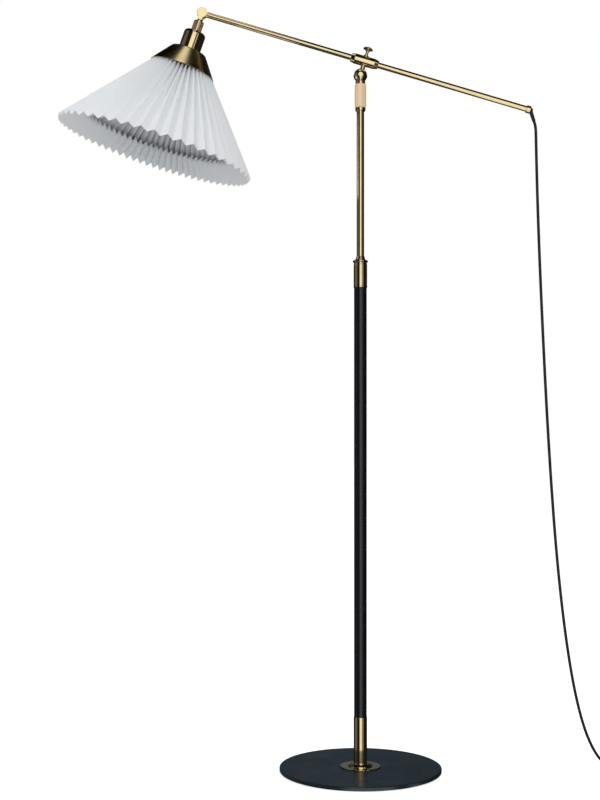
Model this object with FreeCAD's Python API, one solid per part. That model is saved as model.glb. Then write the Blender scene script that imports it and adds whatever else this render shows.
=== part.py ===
"""Bridge floor lamp: round base, telescopic mast, tilting and sliding arm, pleated shade.

Millimetres, +Z up, origin at the centre of the base's underside. The arm lies in the XZ
plane, with the shade at its -X end and the cord at its +X end. Lengths that the arm or the
lamp head carry are measured in their own frames: along the arm from the point nearest to
the knuckle, and down the head's axis from the tip hinge.
"""
import FreeCAD, Part
import math
import os

from FreeCAD import Placement, Rotation, Vector

# ---- clearances ---------------------------------------------------------------------
RUN = 0.05  # radial, of a shaft or tube that turns or slides in its bore
SEAT = 0.05  # radial, between round pieces that are fixed to each other
AIR = 0.3  # between pieces that pass each other without touching

# ---- base ---------------------------------------------------------------------------
PAD_D = 272.0
PAD_T = 1.2
PLATE_D = 280.0
PLATE_T = 6.8
PLATE_EDGE = 1.2
FLANGE_D = 70.0
FLANGE_T = 1.6
HUB_D = 42.0
HUB_H = 4.0
BOLT_D = 8.0
BOLT_HEAD_D = 20.0
BOLT_HEAD_H = 2.4
BOLT_GRIP = 24.0  # length of the bolt above the plate
WASHER_D = 26.0
WASHER_T = 1.0
FOOT_PLUG_H = 32.0

# ---- mast ---------------------------------------------------------------------------
OUTER_TUBE_D = 22.0
OUTER_TUBE_WALL = 1.5
OUTER_TUBE_LENGTH = 850.0
SLEEVE_WALL = 0.6
LOWER_SLEEVE_H = 86.0
UPPER_SLEEVE_LAP = 21.5  # how far the upper sleeve reaches down over the outer tube
UPPER_SLEEVE_RISE = 21.0  # and up past its end
BEAD = 0.35  # how far the sleeve's rolled rim stands proud
BEAD_H = 1.6
BUSH_H = 22.0
BUSH_FLANGE_T = 1.5
COLLET_INSET = 0.35  # collet's side inside the line of the outer tube's bore
COLLET_TIP_SHARE = 0.5  # of its wall that is left at its tip
COLLET_SLOT = 1.0
CLAMP_RING_D = 26.5
CLAMP_RING_H = 4.8
CLAMP_SPIGOT_H = 11.0
CLAMP_SPIGOT_WALL = 0.6
COLLET_CAP_FOOT_WALL = 2.0  # round the inner tube
COLLET_CAP_TOP_WALL = 0.5
COLLET_CAP_H = 6.5
INNER_TUBE_D = 13.0
INNER_TUBE_WALL = 1.0
INNER_TUBE_HELD = 268.0  # length inside the outer tube at rest
INNER_TUBE_SHOWN = 283.0  # length from the outer tube's end to the grip ring
GUIDE_H = 30.0
STOP_RING_H = 5.5
STOP_RING_CLEAR = 0.65  # radial, from the outer tube's bore
MAST_PLUG_H = 12.0
MAST_PLUG_FLANGE_T = 3.0
GRIP_RING_WALL = 2.3
GRIP_RING_H = 6.2
GRIP_D = 20.0
GRIP_H = 41.0

# ---- knuckle ------------------------------------------------------------------------
BALL_D = 24.0
BALL_RISE = 15.0  # ball centre above the grip's top
NECK_D = 17.0
NECK_H = 5.0
NECK_SPIGOT_H = 20.0
TONGUE_T = 8.0
TONGUE_D = 17.2
STEM_D = 8.0
STEM_SPIGOT_D = 5.0
STEM_SPIGOT_SHORT = 0.6  # of the bore that its end stays clear of
PIVOT_D = 5.0
PIVOT_HEAD_D = 8.0
PIVOT_HEAD_T = 1.6

# ---- arm ----------------------------------------------------------------------------
ARM_SLOPE = 16.42  # degrees, rear end low
ARM_OFFSET = 25.8  # arm axis from the ball's centre
ARM_TUBE_D = 10.0
ARM_TUBE_WALL = 1.0
ARM_FRONT = 293.0  # tip hinge from the point nearest to the knuckle
ARM_REAR = 299.0
SLIDER_D = 17.5
SLIDER_L = 49.0
SLIDER_TAPER = 7.0
SLIDER_END_D = 13.6
SLIDER_LIP_T = 2.0
LINER_WALL = 1.15
LINER_SLIT = 1.0
SLIDER_END_SPIGOT = 3.0
THUMB_SHANK_D = 4.0
THUMB_BOSS_D = 9.0
THUMB_BOSS_H = 1.6
THUMB_HEAD_D = 17.3
THUMB_NECK_D = 5.0
THUMB_NECK_H = 2.6  # screw's shoulder above the slider
THUMB_RIM_H = 12.0  # underside of the head's rim above the slider
THUMB_TOP_H = 15.9
END_CAP_D = 13.2
END_CAP_L = 7.5
END_CAP_LIP = 1.5
GLAND_SPIGOT_L = 14.0
GLAND_DOME_D = 9.2
RELIEF_TURN = 55.6  # degrees from the arm's axis down to the cord's exit
RELIEF_L = 20.0
RELIEF_FOOT_D = 6.8
RELIEF_TIP_WALL = 0.5
RELIEF_BORE_L = 3.0
CORD_PIVOT = 1.8  # middle of the cord's rounded start beyond the relief's tip
INNER_LEAD_D = 4.6

# ---- tip hinge ----------------------------------------------------------------------
DRUM_D = 17.5
DRUM_T = 14.0
HINGE_TONGUE_T = 6.4
HINGE_TONGUE_D = 16.6
HINGE_WEB_H = 8.0
HINGE_SPIGOT_L = 18.0
HINGE_SCREW_D = 5.0
HINGE_SCREW_HEAD_D = 9.0
HINGE_SCREW_HEAD_T = 1.8
HINGE_FRONT_SKIN = 1.5  # what is left of the front disc behind its plain face

# ---- lamp head, down its axis from the tip hinge --------------------------------------
HEAD_LEAN = 19.4  # degrees, lower end outwards
NIPPLE_D = 8.0
NIPPLE_BORE = 4.6
NIPPLE_END = 44.0
CROTCH_T = 3.6
SWITCH_TOP = 15.3
SWITCH_D = 17.8
SWITCH_H = 18.3
SWITCH_FLUTES = 24
SWITCH_FLUTE_D = 1.2
COVER_D = 38.0
COVER_TOP = 33.9
COVER_END = 88.0
COVER_WALL = 1.2
COVER_ROUND = 5.5
NUT_ACROSS = 13.0
NUT_T = 3.6
HOLDER_WALL = 3.9
HOLDER_TOP = 46.0
HOLDER_FLOOR = 56.0
HOLDER_END = 96.0
HOLDER_NECK_D = 16.0
HOLDER_NECK_H = 6.4
SHELL_BORE = 26.5
SHELL_WALL = 0.4
SHELL_TOP = 60.0
SHELL_END = 93.0
CONTACT_D = 9.0
CONTACT_T = 1.2
CAP_TOP = 68.7
CAP_END = 104.0
CAP_TOP_D = 60.5
CAP_END_D = 114.0
CAP_WALL = 1.2
CAP_ROUND = 5.0
CARRIER_T = 1.0
CARRIER_FLAT_D = 52.0
CARRIER_END = 96.5
SHADE_NUT_WALL = 5.5
SHADE_NUT_H = 6.0

# ---- shade ----------------------------------------------------------------------------
SHADE_D = 347.0
SHADE_END = 253.0
SHADE_LAP = 6.5  # how far the shade reaches up under the cap
SHADE_LAP_STEP = 5.4  # how much narrower it is there
SHADE_T = 2.0
GATHER_D = 74.4  # inner edge of the pleats where they are gathered at the top
HEM_D = 258.0  # inner edge of the hem that is folded inwards
HEM_RISE = 28.5
HEM_T = 1.5
WIRE_D = 2.5

# ---- cord -----------------------------------------------------------------------------
CORD_D = 5.0
COIL_OUTER_R = 37.0  # middle of the outermost turn
COIL_INNER_R = 21.4
COIL_LOW = 3.3  # middle of the lower layer of turns
COIL_HIGH = 8.5
COIL_SKIN = 0.2
TIE_T = 0.7
TIE_W = 7.0
TIE_ANGLE = 150.0
PLUG_L = 35.0
PLUG_W = 26.0
PLUG_T = 13.7
PLUG_ROUND = 3.5
PLUG_RELIEF_L = 14.0
PLUG_RELIEF_TIP_D = 6.6
PLUG_RELIEF_FOOT_D = 10.0
PIN_D = 4.0
PIN_L = 19.0
PIN_SPACING = 18.6

# ---- heights and frames that follow from the sizes above ------------------------------
PLATE_TOP = PAD_T + PLATE_T
TUBE_R = OUTER_TUBE_D / 2
TUBE_BORE_R = TUBE_R - OUTER_TUBE_WALL
TUBE_TOP = PLATE_TOP + OUTER_TUBE_LENGTH
SLEEVE_R = TUBE_R + SEAT + SLEEVE_WALL
SLEEVE_TOP = TUBE_TOP + UPPER_SLEEVE_RISE
MAST_R = INNER_TUBE_D / 2
COLLET_R = TUBE_BORE_R - COLLET_INSET
COLLET_TIP_R = MAST_R + RUN + (COLLET_R - MAST_R - RUN) * COLLET_TIP_SHARE
MAST_FOOT = TUBE_TOP - INNER_TUBE_HELD
GRIP_RING_Z = TUBE_TOP + INNER_TUBE_SHOWN
GRIP_Z = GRIP_RING_Z + GRIP_RING_H
GRIP_TOP = GRIP_Z + GRIP_H
BALL = Vector(0, 0, GRIP_TOP + BALL_RISE)
ARM_R = ARM_TUBE_D / 2
SLIDER_R = SLIDER_D / 2
LINER_BORE_R = ARM_R + RUN + LINER_WALL + RUN
TUBE_START = DRUM_D / 2 + 2.25  # arm tube's front end from the tip hinge

X_AXIS = Vector(1, 0, 0)
Y_AXIS = Vector(0, 1, 0)
Z_AXIS = Vector(0, 0, 1)
ARM_FRAME = Placement(Vector(), Rotation(Y_AXIS, ARM_SLOPE))
ARM_UP = ARM_FRAME.multVec(Z_AXIS)
ARM_BACK = ARM_FRAME.multVec(X_AXIS)
ARM_FRAME.Base = BALL + ARM_UP * ARM_OFFSET
TIP = ARM_FRAME.Base - ARM_BACK * ARM_FRONT
HEAD_FRAME = Placement(TIP, Rotation(Y_AXIS, HEAD_LEAN))
REAR = ARM_FRAME.Base + ARM_BACK * ARM_REAR
RELIEF_DOWN = Rotation(Y_AXIS, ARM_SLOPE + RELIEF_TURN).multVec(X_AXIS)
CORD_START = REAR + RELIEF_DOWN * (RELIEF_L + CORD_PIVOT)

# The cord's route, down from the tip of its relief, sagging out to the floor and along it
# to the coil. The points are chosen by hand.
LEAD_ROUTE = (
    (302.4, 0, 1117.8),
    (303.4, 0, 1110.2),
    (303.8, 0, 1098),
    (304.2, 0, 1075),
    (305.3, 0, 1030),
    (307.0, 0, 970),
    (309.5, 0, 900),
    (312.4, 0, 830),
    (315.6, 0, 760),
    (319.0, 0, 690),
    (322.7, 0, 620),
    (326.8, 0, 550),
    (331.4, 0, 480),
    (336.6, 0, 410),
    (341.9, 0, 350),
    (348.4, 0, 288),
    (356.2, 0, 226),
    (365.7, 0, 165),
    (376.0, 0, 115),
    (387.0, 0, 75),
    (399.0, 0, 45),
    (412.6, 0, 22),
    (428.5, -0.4, 8),
    (447.0, -1.2, 2.7),
    (465.0, -1.4, 2.9),
    (482.0, 0, COIL_LOW),
)
COIL_CENTRE = Vector(LEAD_ROUTE[-1][0], LEAD_ROUTE[-1][1] + COIL_OUTER_R, 0)
TAIL_ROUTE = (
    (519.0, 37, COIL_HIGH),
    (519.2, 55, 8.3),
    (520.2, 73, PLUG_T / 2),
    (520.2, 90, PLUG_T / 2),
)
PLUG_FRAME = Placement(Vector(*TAIL_ROUTE[-1]), Rotation(Z_AXIS, 90))


# ---- shapes ---------------------------------------------------------------------------
def rounded_edges(points, radii, closed):
    """Edges through the points: straight runs, joined at each corner by a tangent arc."""
    count = len(points)
    arcs = {}
    for i in range(count):
        inner = closed or 0 < i < count - 1
        if radii[i] <= 0 or not inner:
            continue
        back = (points[i - 1] - points[i]).normalize()
        ahead = (points[(i + 1) % count] - points[i]).normalize()
        half = back.getAngle(ahead) / 2
        reach = radii[i] / math.tan(half)
        rise = radii[i] / math.sin(half) - radii[i]
        middle = points[i] + (back + ahead).normalize() * rise
        arcs[i] = (points[i] + back * reach, middle, points[i] + ahead * reach)
    edges = []
    for i in range(count):
        if i in arcs:
            edges.append(Part.Arc(*arcs[i]).toShape())
        if i == count - 1 and not closed:
            break
        following = (i + 1) % count
        start = arcs[i][2] if i in arcs else points[i]
        end = arcs[following][0] if following in arcs else points[following]
        if start.distanceToPoint(end) > 1e-6:
            edges.append(Part.LineSegment(start, end).toShape())
    return edges


def turned(*outline):
    """A solid turned about Z. Each point is (radius, height) or (radius, height, rounding)."""
    points = [Vector(p[0], 0, p[1]) for p in outline]
    radii = [p[2] if len(p) > 2 else 0 for p in outline]
    face = Part.Face(Part.Wire(rounded_edges(points, radii, closed=True)))
    solid = face.revolve(Vector(), Z_AXIS, 360)
    if solid.Volume < 0:
        solid.reverse()
    return solid


def tube(outer, bore, low, high, edge=0):
    """A ring about Z with rounded outer edges. outer and bore are radii."""
    return turned((bore, low), (outer, low, edge), (outer, high, edge), (bore, high))


def disc(radius, low, high, edge=0):
    """A solid disc or rod about Z."""
    return turned((0, low), (radius, low, edge), (radius, high, edge), (0, high))


def across(shape):
    """Lays a shape made about Z along Y."""
    shape.rotate(Vector(), X_AXIS, -90)
    return shape


def along(shape):
    """Lays a shape made about Z along X."""
    shape.rotate(Vector(), Y_AXIS, 90)
    return shape


def block(low, high):
    """A box between two corners."""
    size = Vector(*high) - Vector(*low)
    return Part.makeBox(size.x, size.y, size.z, Vector(*low))


def hexagon(across_flats, low, high):
    """A hexagonal bar about Z."""
    radius = across_flats / math.sqrt(3)
    corners = [
        Vector(radius * math.cos(a), radius * math.sin(a), low)
        for a in (math.radians(60 * n) for n in range(7))
    ]
    return Part.Face(Part.makePolygon(corners)).extrude(Vector(0, 0, high - low))


def wire_ring(ring_radius, height, wire_d):
    """A ring of round wire about Z."""
    return Part.makeTorus(ring_radius, wire_d / 2, Vector(0, 0, height), Z_AXIS)


def placed(shapes, frame):
    """The shapes moved from a local frame into the lamp's."""
    for shape in shapes.values():
        shape.Placement = frame.multiply(shape.Placement)
    return shapes


def head_turned(*outline):
    """A solid turned about the head's axis. Heights are depths below the tip hinge."""
    return turned(*[(p[0], -p[1], *p[2:]) for p in outline])


# ---- sub-assemblies ---------------------------------------------------------------------
def base():
    """The weighted foot: felt pad, plate, flange, hub and the bolt that holds the mast."""
    bolt_r = BOLT_D / 2
    recess_r = WASHER_D / 2 + AIR
    recess_top = PAD_T + BOLT_HEAD_H + WASHER_T + AIR
    sleeve_hole = SLEEVE_R + SEAT
    plate = disc(PLATE_D / 2, PAD_T, PLATE_TOP, PLATE_EDGE)
    plate = plate.cut(disc(recess_r, PAD_T, recess_top))
    plate = plate.cut(disc(bolt_r + SEAT, PAD_T, PLATE_TOP))
    flange_top = PLATE_TOP + FLANGE_T
    hub_top = flange_top + HUB_H
    flange = tube(FLANGE_D / 2, sleeve_hole, PLATE_TOP, flange_top, FLANGE_T * 0.45)
    hub = turned(
        (sleeve_hole, flange_top),
        (HUB_D / 2, flange_top),
        (HUB_D / 2, flange_top + HUB_H * 0.4, HUB_H * 0.25),
        (SLEEVE_R + HUB_H * 0.75, hub_top, HUB_H * 0.3),
        (sleeve_hole, hub_top),
    )
    washer = tube(WASHER_D / 2, bolt_r + SEAT, recess_top - WASHER_T, recess_top)
    head_top = recess_top - WASHER_T
    bolt = turned(
        (0, head_top - BOLT_HEAD_H),
        (BOLT_HEAD_D / 2, head_top - BOLT_HEAD_H, 0.4),
        (BOLT_HEAD_D / 2, head_top),
        (bolt_r, head_top),
        (bolt_r, PLATE_TOP + BOLT_GRIP),
        (0, PLATE_TOP + BOLT_GRIP),
    )
    bolt = bolt.cut(hexagon(BOLT_D * 0.6, head_top - BOLT_HEAD_H, head_top - 0.8))
    plug = tube(TUBE_BORE_R - SEAT, bolt_r + SEAT, PLATE_TOP, PLATE_TOP + FOOT_PLUG_H, 0.6)
    return {
        "base_pad": disc(PAD_D / 2, 0, PAD_T, 0.3),
        "base_plate": plate,
        "foot_flange": flange,
        "foot_hub": hub,
        "foot_washer": washer,
        "foot_bolt": bolt,
        "foot_plug": plug,
    }


def outer_mast():
    """The fixed tube with its two sleeves and what guides the inner tube at its mouth."""
    foot = TUBE_TOP - UPPER_SLEEVE_LAP
    shelf = TUBE_TOP + BUSH_FLANGE_T + AIR
    bore = TUBE_R + SEAT
    neck_bore = TUBE_BORE_R + CLAMP_SPIGOT_WALL + AIR
    upper_sleeve = turned(
        (bore, foot),
        (SLEEVE_R + BEAD, foot, BEAD),
        (SLEEVE_R + BEAD, foot + BEAD_H, BEAD * 0.6),
        (SLEEVE_R, foot + BEAD_H + BEAD),
        (SLEEVE_R, SLEEVE_TOP - BEAD_H * 2),
        (SLEEVE_R - BEAD, SLEEVE_TOP - BEAD_H * 1.5),
        (SLEEVE_R - BEAD, SLEEVE_TOP),
        (neck_bore, SLEEVE_TOP),
        (neck_bore, shelf),
        (bore, shelf),
    )
    lower_sleeve = turned(
        (bore, PLATE_TOP),
        (SLEEVE_R, PLATE_TOP),
        (SLEEVE_R, PLATE_TOP + LOWER_SLEEVE_H, SLEEVE_WALL * 0.5),
        (bore, PLATE_TOP + LOWER_SLEEVE_H),
    )
    bush = turned(
        (MAST_R + RUN, TUBE_TOP - BUSH_H),
        (TUBE_BORE_R - SEAT, TUBE_TOP - BUSH_H),
        (TUBE_BORE_R - SEAT, TUBE_TOP),
        (TUBE_R - SEAT, TUBE_TOP),
        (TUBE_R - SEAT, TUBE_TOP + BUSH_FLANGE_T),
        (MAST_R + RUN, TUBE_TOP + BUSH_FLANGE_T),
    )
    jaw_foot = TUBE_TOP + BUSH_FLANGE_T
    jaw_top = SLEEVE_TOP + CLAMP_RING_H * 0.7
    jaw_r = MAST_R + RUN
    collet = turned(
        (jaw_r, jaw_foot),
        (COLLET_R, jaw_foot),
        (COLLET_R, SLEEVE_TOP - BEAD_H),
        (COLLET_TIP_R, jaw_top),
        (jaw_r, jaw_top),
    )
    slot_foot = jaw_foot + BUSH_FLANGE_T * 2
    for angle in (0, 90):
        slot = block((-TUBE_R, -COLLET_SLOT / 2, slot_foot), (TUBE_R, COLLET_SLOT / 2, jaw_top))
        slot.rotate(Vector(), Z_AXIS, angle)
        collet = collet.cut(slot)
    return {
        "lower_sleeve": lower_sleeve,
        "outer_tube": tube(TUBE_R, TUBE_BORE_R, PLATE_TOP, TUBE_TOP),
        "upper_sleeve": upper_sleeve,
        "mouth_bush": bush,
        "collet": collet,
    }


def clamp_nut():
    """The ring and cap that are turned by hand to close the collet on the inner tube."""
    foot = SLEEVE_TOP + AIR / 2
    top = foot + CLAMP_RING_H
    ring_r = CLAMP_RING_D / 2
    spigot_r = TUBE_BORE_R + CLAMP_SPIGOT_WALL
    cap_top = top + COLLET_CAP_H
    cap_foot_r = MAST_R + COLLET_CAP_FOOT_WALL
    ring = turned(
        (COLLET_R + AIR, foot - CLAMP_SPIGOT_H),
        (spigot_r, foot - CLAMP_SPIGOT_H),
        (spigot_r, foot),
        (ring_r - CLAMP_RING_H * 0.35, foot),
        (ring_r, foot + CLAMP_RING_H * 0.32, CLAMP_RING_H * 0.18),
        (ring_r, foot + CLAMP_RING_H * 0.68, CLAMP_RING_H * 0.18),
        (ring_r - CLAMP_RING_H * 0.5, top),
        (COLLET_TIP_R + AIR, top),
        (COLLET_R + AIR, foot - BEAD_H),
    )
    cap = turned(
        (MAST_R + AIR, top),
        (cap_foot_r, top),
        (cap_foot_r, top + COLLET_CAP_H * 0.15),
        (MAST_R + COLLET_CAP_TOP_WALL, cap_top, 0.15),
        (MAST_R + AIR, cap_top),
    )
    return {"clamp_ring": ring, "collet_cap": cap}


def guide():
    """The bush at the inner tube's foot: it slides with the tube, which turns in it."""
    low = MAST_FOOT + AIR
    return {"guide_bush": tube(TUBE_BORE_R - RUN, MAST_R + RUN, low, low + GUIDE_H, 0.5)}


def inner_mast():
    """The sliding tube with its foot parts, grip and the lower half of the knuckle."""
    bore = MAST_R - INNER_TUBE_WALL
    stop_foot = MAST_FOOT + AIR + GUIDE_H + AIR
    plug = turned(
        (0, MAST_FOOT - MAST_PLUG_FLANGE_T),
        (TUBE_BORE_R - 1, MAST_FOOT - MAST_PLUG_FLANGE_T, 0.8),
        (TUBE_BORE_R - 1, MAST_FOOT),
        (bore - SEAT, MAST_FOOT),
        (bore - SEAT, MAST_FOOT + MAST_PLUG_H),
        (0, MAST_FOOT + MAST_PLUG_H),
    )
    stop_r = TUBE_BORE_R - STOP_RING_CLEAR
    ring_r = MAST_R + SEAT + GRIP_RING_WALL
    ring = turned(
        (MAST_R + SEAT, GRIP_RING_Z),
        (ring_r - 1.2, GRIP_RING_Z, 0.3),
        (ring_r, GRIP_RING_Z + 1.4, 0.5),
        (ring_r, GRIP_Z, 0.3),
        (MAST_R + SEAT, GRIP_Z),
    )
    return {
        "mast_plug": plug,
        "stop_ring": tube(stop_r, MAST_R + SEAT, stop_foot, stop_foot + STOP_RING_H, 0.4),
        "inner_tube": tube(MAST_R, bore, MAST_FOOT, GRIP_TOP),
        "grip_ring": ring,
        "wood_grip": tube(GRIP_D / 2, MAST_R + SEAT, GRIP_Z, GRIP_TOP, 1.0),
        "knuckle_ball": knuckle_ball(bore - SEAT),
        "knuckle_pivot": knuckle_pivot(),
    }


def knuckle_ball(spigot_r):
    """The slotted ball on its neck, with the spigot that holds it in the inner tube."""
    body = turned(
        (0, GRIP_TOP - NECK_SPIGOT_H),
        (spigot_r, GRIP_TOP - NECK_SPIGOT_H, 0.5),
        (spigot_r, GRIP_TOP),
        (NECK_D / 2, GRIP_TOP, 0.5),
        (NECK_D / 2, GRIP_TOP + NECK_H, 1.0),
        (0, GRIP_TOP + NECK_H),
    )
    ball_r = BALL_D / 2
    body = body.fuse(Part.makeSphere(ball_r, BALL)).removeSplitter()
    half = TONGUE_T / 2 + AIR
    well = across(disc(TONGUE_D / 2 + AIR, -half, half))
    well.translate(BALL)
    mouth = block((-ball_r - 1, -half, BALL.z), (ball_r + 1, half, BALL.z + ball_r + 1))
    body = body.cut(well.fuse(mouth))
    pin_hole = across(disc(PIVOT_D / 2 + SEAT, -ball_r, ball_r))
    head_seat = across(disc(PIVOT_HEAD_D / 2 + SEAT, -ball_r, -ball_r + PIVOT_HEAD_T + 1.2))
    hole = pin_hole.fuse(head_seat)
    hole.translate(BALL)
    return body.cut(hole)


def knuckle_pivot():
    """The slotted screw across the ball that the tongue turns on."""
    ball_r = BALL_D / 2
    face = -ball_r + 1.2
    pin = turned(
        (0, face),
        (PIVOT_HEAD_D / 2, face, 0.4),
        (PIVOT_HEAD_D / 2, face + PIVOT_HEAD_T),
        (PIVOT_D / 2, face + PIVOT_HEAD_T),
        (PIVOT_D / 2, ball_r - 1.4),
        (0, ball_r - 1.4),
    )
    pin = pin.cut(block((-PIVOT_HEAD_D, -0.5, face - 1), (PIVOT_HEAD_D, 0.5, face + 0.8)))
    pin = across(pin)
    pin.translate(BALL)
    return pin


def slider():
    """What tilts on the knuckle: tongue and stem, clamp slider and its end ring."""
    half = SLIDER_L / 2
    ring_at = half - SLIDER_TAPER
    lip_r = ARM_R + SEAT + AIR
    end_r = SLIDER_END_D / 2
    barrel = along(
        turned(
            (lip_r, -half),
            (end_r, -half, 0.4),
            (SLIDER_R, -ring_at, 1.0),
            (SLIDER_R, ring_at),
            (LINER_BORE_R, ring_at),
            (LINER_BORE_R, -half + SLIDER_LIP_T),
            (lip_r, -half + SLIDER_LIP_T),
        )
    )
    boss_top = SLIDER_R + THUMB_BOSS_H
    boss = disc(THUMB_BOSS_D / 2, LINER_BORE_R + 0.6, boss_top, 0.4)
    barrel = barrel.fuse(boss).removeSplitter()
    barrel = barrel.cut(disc(THUMB_SHANK_D / 2 + RUN, 0, boss_top + 1))
    socket_r = STEM_SPIGOT_D / 2 + SEAT
    barrel = barrel.cut(disc(socket_r, -SLIDER_R - 1, 0))
    spigot_r = LINER_BORE_R - SEAT
    end_ring = along(
        turned(
            (lip_r, ring_at - SLIDER_END_SPIGOT),
            (spigot_r, ring_at - SLIDER_END_SPIGOT),
            (spigot_r, ring_at),
            (SLIDER_R, ring_at, 0.3),
            (end_r, half, 0.4),
            (lip_r, half),
        )
    )
    tongue = across(disc(TONGUE_D / 2, -TONGUE_T / 2, TONGUE_T / 2, 0.4))
    tongue.translate(Vector(0, 0, -ARM_OFFSET))
    stem = disc(STEM_D / 2, -ARM_OFFSET, -SLIDER_R + 2)
    saddle = along(disc(SLIDER_R + SEAT, -half, half))
    spigot = disc(STEM_SPIGOT_D / 2, -SLIDER_R - 1, -LINER_BORE_R - STEM_SPIGOT_SHORT)
    tongue = tongue.fuse(stem).cut(saddle).fuse(spigot).removeSplitter()
    pivot_hole = across(disc(PIVOT_D / 2 + RUN, -TONGUE_T, TONGUE_T))
    pivot_hole.translate(Vector(0, 0, -ARM_OFFSET))
    tongue = tongue.cut(pivot_hole)
    shapes = {"knuckle_stem": tongue, "slider": barrel, "slider_end_ring": end_ring}
    return placed(shapes, ARM_FRAME)


def liner():
    """The split bush in the slider: the thumb screw squeezes it on the arm."""
    half = SLIDER_L / 2
    low = -half + SLIDER_LIP_T + AIR
    high = half - SLIDER_TAPER - SLIDER_END_SPIGOT - AIR
    bush = along(tube(LINER_BORE_R - RUN, ARM_R + RUN, low, high, 0.3))
    slit = block((low, 0, -LINER_SLIT / 2), (high, LINER_BORE_R, LINER_SLIT / 2))
    return placed({"arm_liner": bush.cut(slit)}, ARM_FRAME)


def thumb_screw():
    """The trumpet-shaped screw on top of the slider."""
    tip = LINER_BORE_R + 0.1
    neck = SLIDER_R + THUMB_NECK_H
    rim = SLIDER_R + THUMB_RIM_H
    top = SLIDER_R + THUMB_TOP_H
    shank_r = THUMB_SHANK_D / 2
    neck_r = THUMB_NECK_D / 2
    head_r = THUMB_HEAD_D / 2
    screw = turned(
        (0, tip),
        (shank_r, tip, 0.3),
        (shank_r, neck),
        (neck_r, neck, 0.3),
        (neck_r, rim - 0.6, head_r - neck_r - 0.8),
        (head_r, rim, 0.3),
        (head_r, rim + 1.3, 0.5),
        (head_r * 0.6, top, 5.0),
        (0, top),
    )
    return placed({"thumb_screw": screw}, ARM_FRAME)


def arm():
    """The tube that slides in the slider, with its rear cap, front tongue and inner lead."""
    bore = ARM_R - ARM_TUBE_WALL
    front = -ARM_FRONT + TUBE_START
    rear = ARM_REAR - END_CAP_LIP
    cap_r = END_CAP_D / 2
    cap = along(
        tube(cap_r, ARM_R + SEAT, ARM_REAR - END_CAP_L, ARM_REAR, 0.8),
    )
    half = HINGE_TONGUE_T / 2
    tongue = across(disc(HINGE_TONGUE_D / 2, -half, half, 0.3))
    web_h = HINGE_WEB_H / 2
    tongue = tongue.fuse(block((0, -half, -web_h), (TUBE_START, half, web_h)))
    tongue = tongue.fuse(along(disc(ARM_R, TUBE_START - 1.6, TUBE_START)))
    tongue = tongue.fuse(along(disc(bore - SEAT, 0, TUBE_START + HINGE_SPIGOT_L, 0.4)))
    sides = block((0, half, -ARM_R), (TUBE_START - 1.6, DRUM_D, ARM_R))
    tongue = tongue.cut(sides).cut(sides.mirror(Vector(), Y_AXIS)).removeSplitter()
    tongue = tongue.cut(across(disc(HINGE_SCREW_D / 2 + RUN, -DRUM_T, DRUM_T)))
    tongue.translate(Vector(-ARM_FRONT, 0, 0))
    lead_start = front + HINGE_SPIGOT_L + AIR
    lead_end = ARM_REAR - GLAND_SPIGOT_L - AIR
    shapes = {
        "arm_tube": along(tube(ARM_R, bore, front, rear)),
        "arm_end_cap": cap,
        "arm_tongue": tongue,
        "inner_lead": along(disc(INNER_LEAD_D / 2, lead_start, lead_end)),
    }
    return placed(shapes, ARM_FRAME)


def gland():
    """The cord's outlet, which turns in the arm's rear end, and its tapered relief."""
    spigot_r = ARM_R - ARM_TUBE_WALL - RUN
    flange_r = ARM_R - RUN
    lip = END_CAP_LIP - AIR
    root = along(
        turned(
            (0, -GLAND_SPIGOT_L),
            (spigot_r, -GLAND_SPIGOT_L, 0.4),
            (spigot_r, -lip),
            (flange_r, -lip),
            (flange_r, AIR),
            (0, AIR),
        )
    )
    bore_r = CORD_D / 2 + RUN
    tip_r = bore_r + RELIEF_TIP_WALL
    cone = turned((0, 0), (RELIEF_FOOT_D / 2, 0), (tip_r, RELIEF_L, 0.2), (0, RELIEF_L))
    bore = disc(bore_r, RELIEF_L - RELIEF_BORE_L, RELIEF_L + 1)
    for shape in (cone, bore):
        shape.rotate(Vector(), Y_AXIS, 90 + RELIEF_TURN)
    inside = block((-ARM_TUBE_D, -ARM_TUBE_D, -ARM_TUBE_D), (AIR, ARM_TUBE_D, ARM_TUBE_D))
    outlet = Part.makeSphere(GLAND_DOME_D / 2).fuse(cone).cut(inside)
    body = root.fuse(outlet).removeSplitter().cut(bore)
    frame = Placement(REAR, ARM_FRAME.Rotation)
    return placed({"cord_gland": body}, frame)


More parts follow.
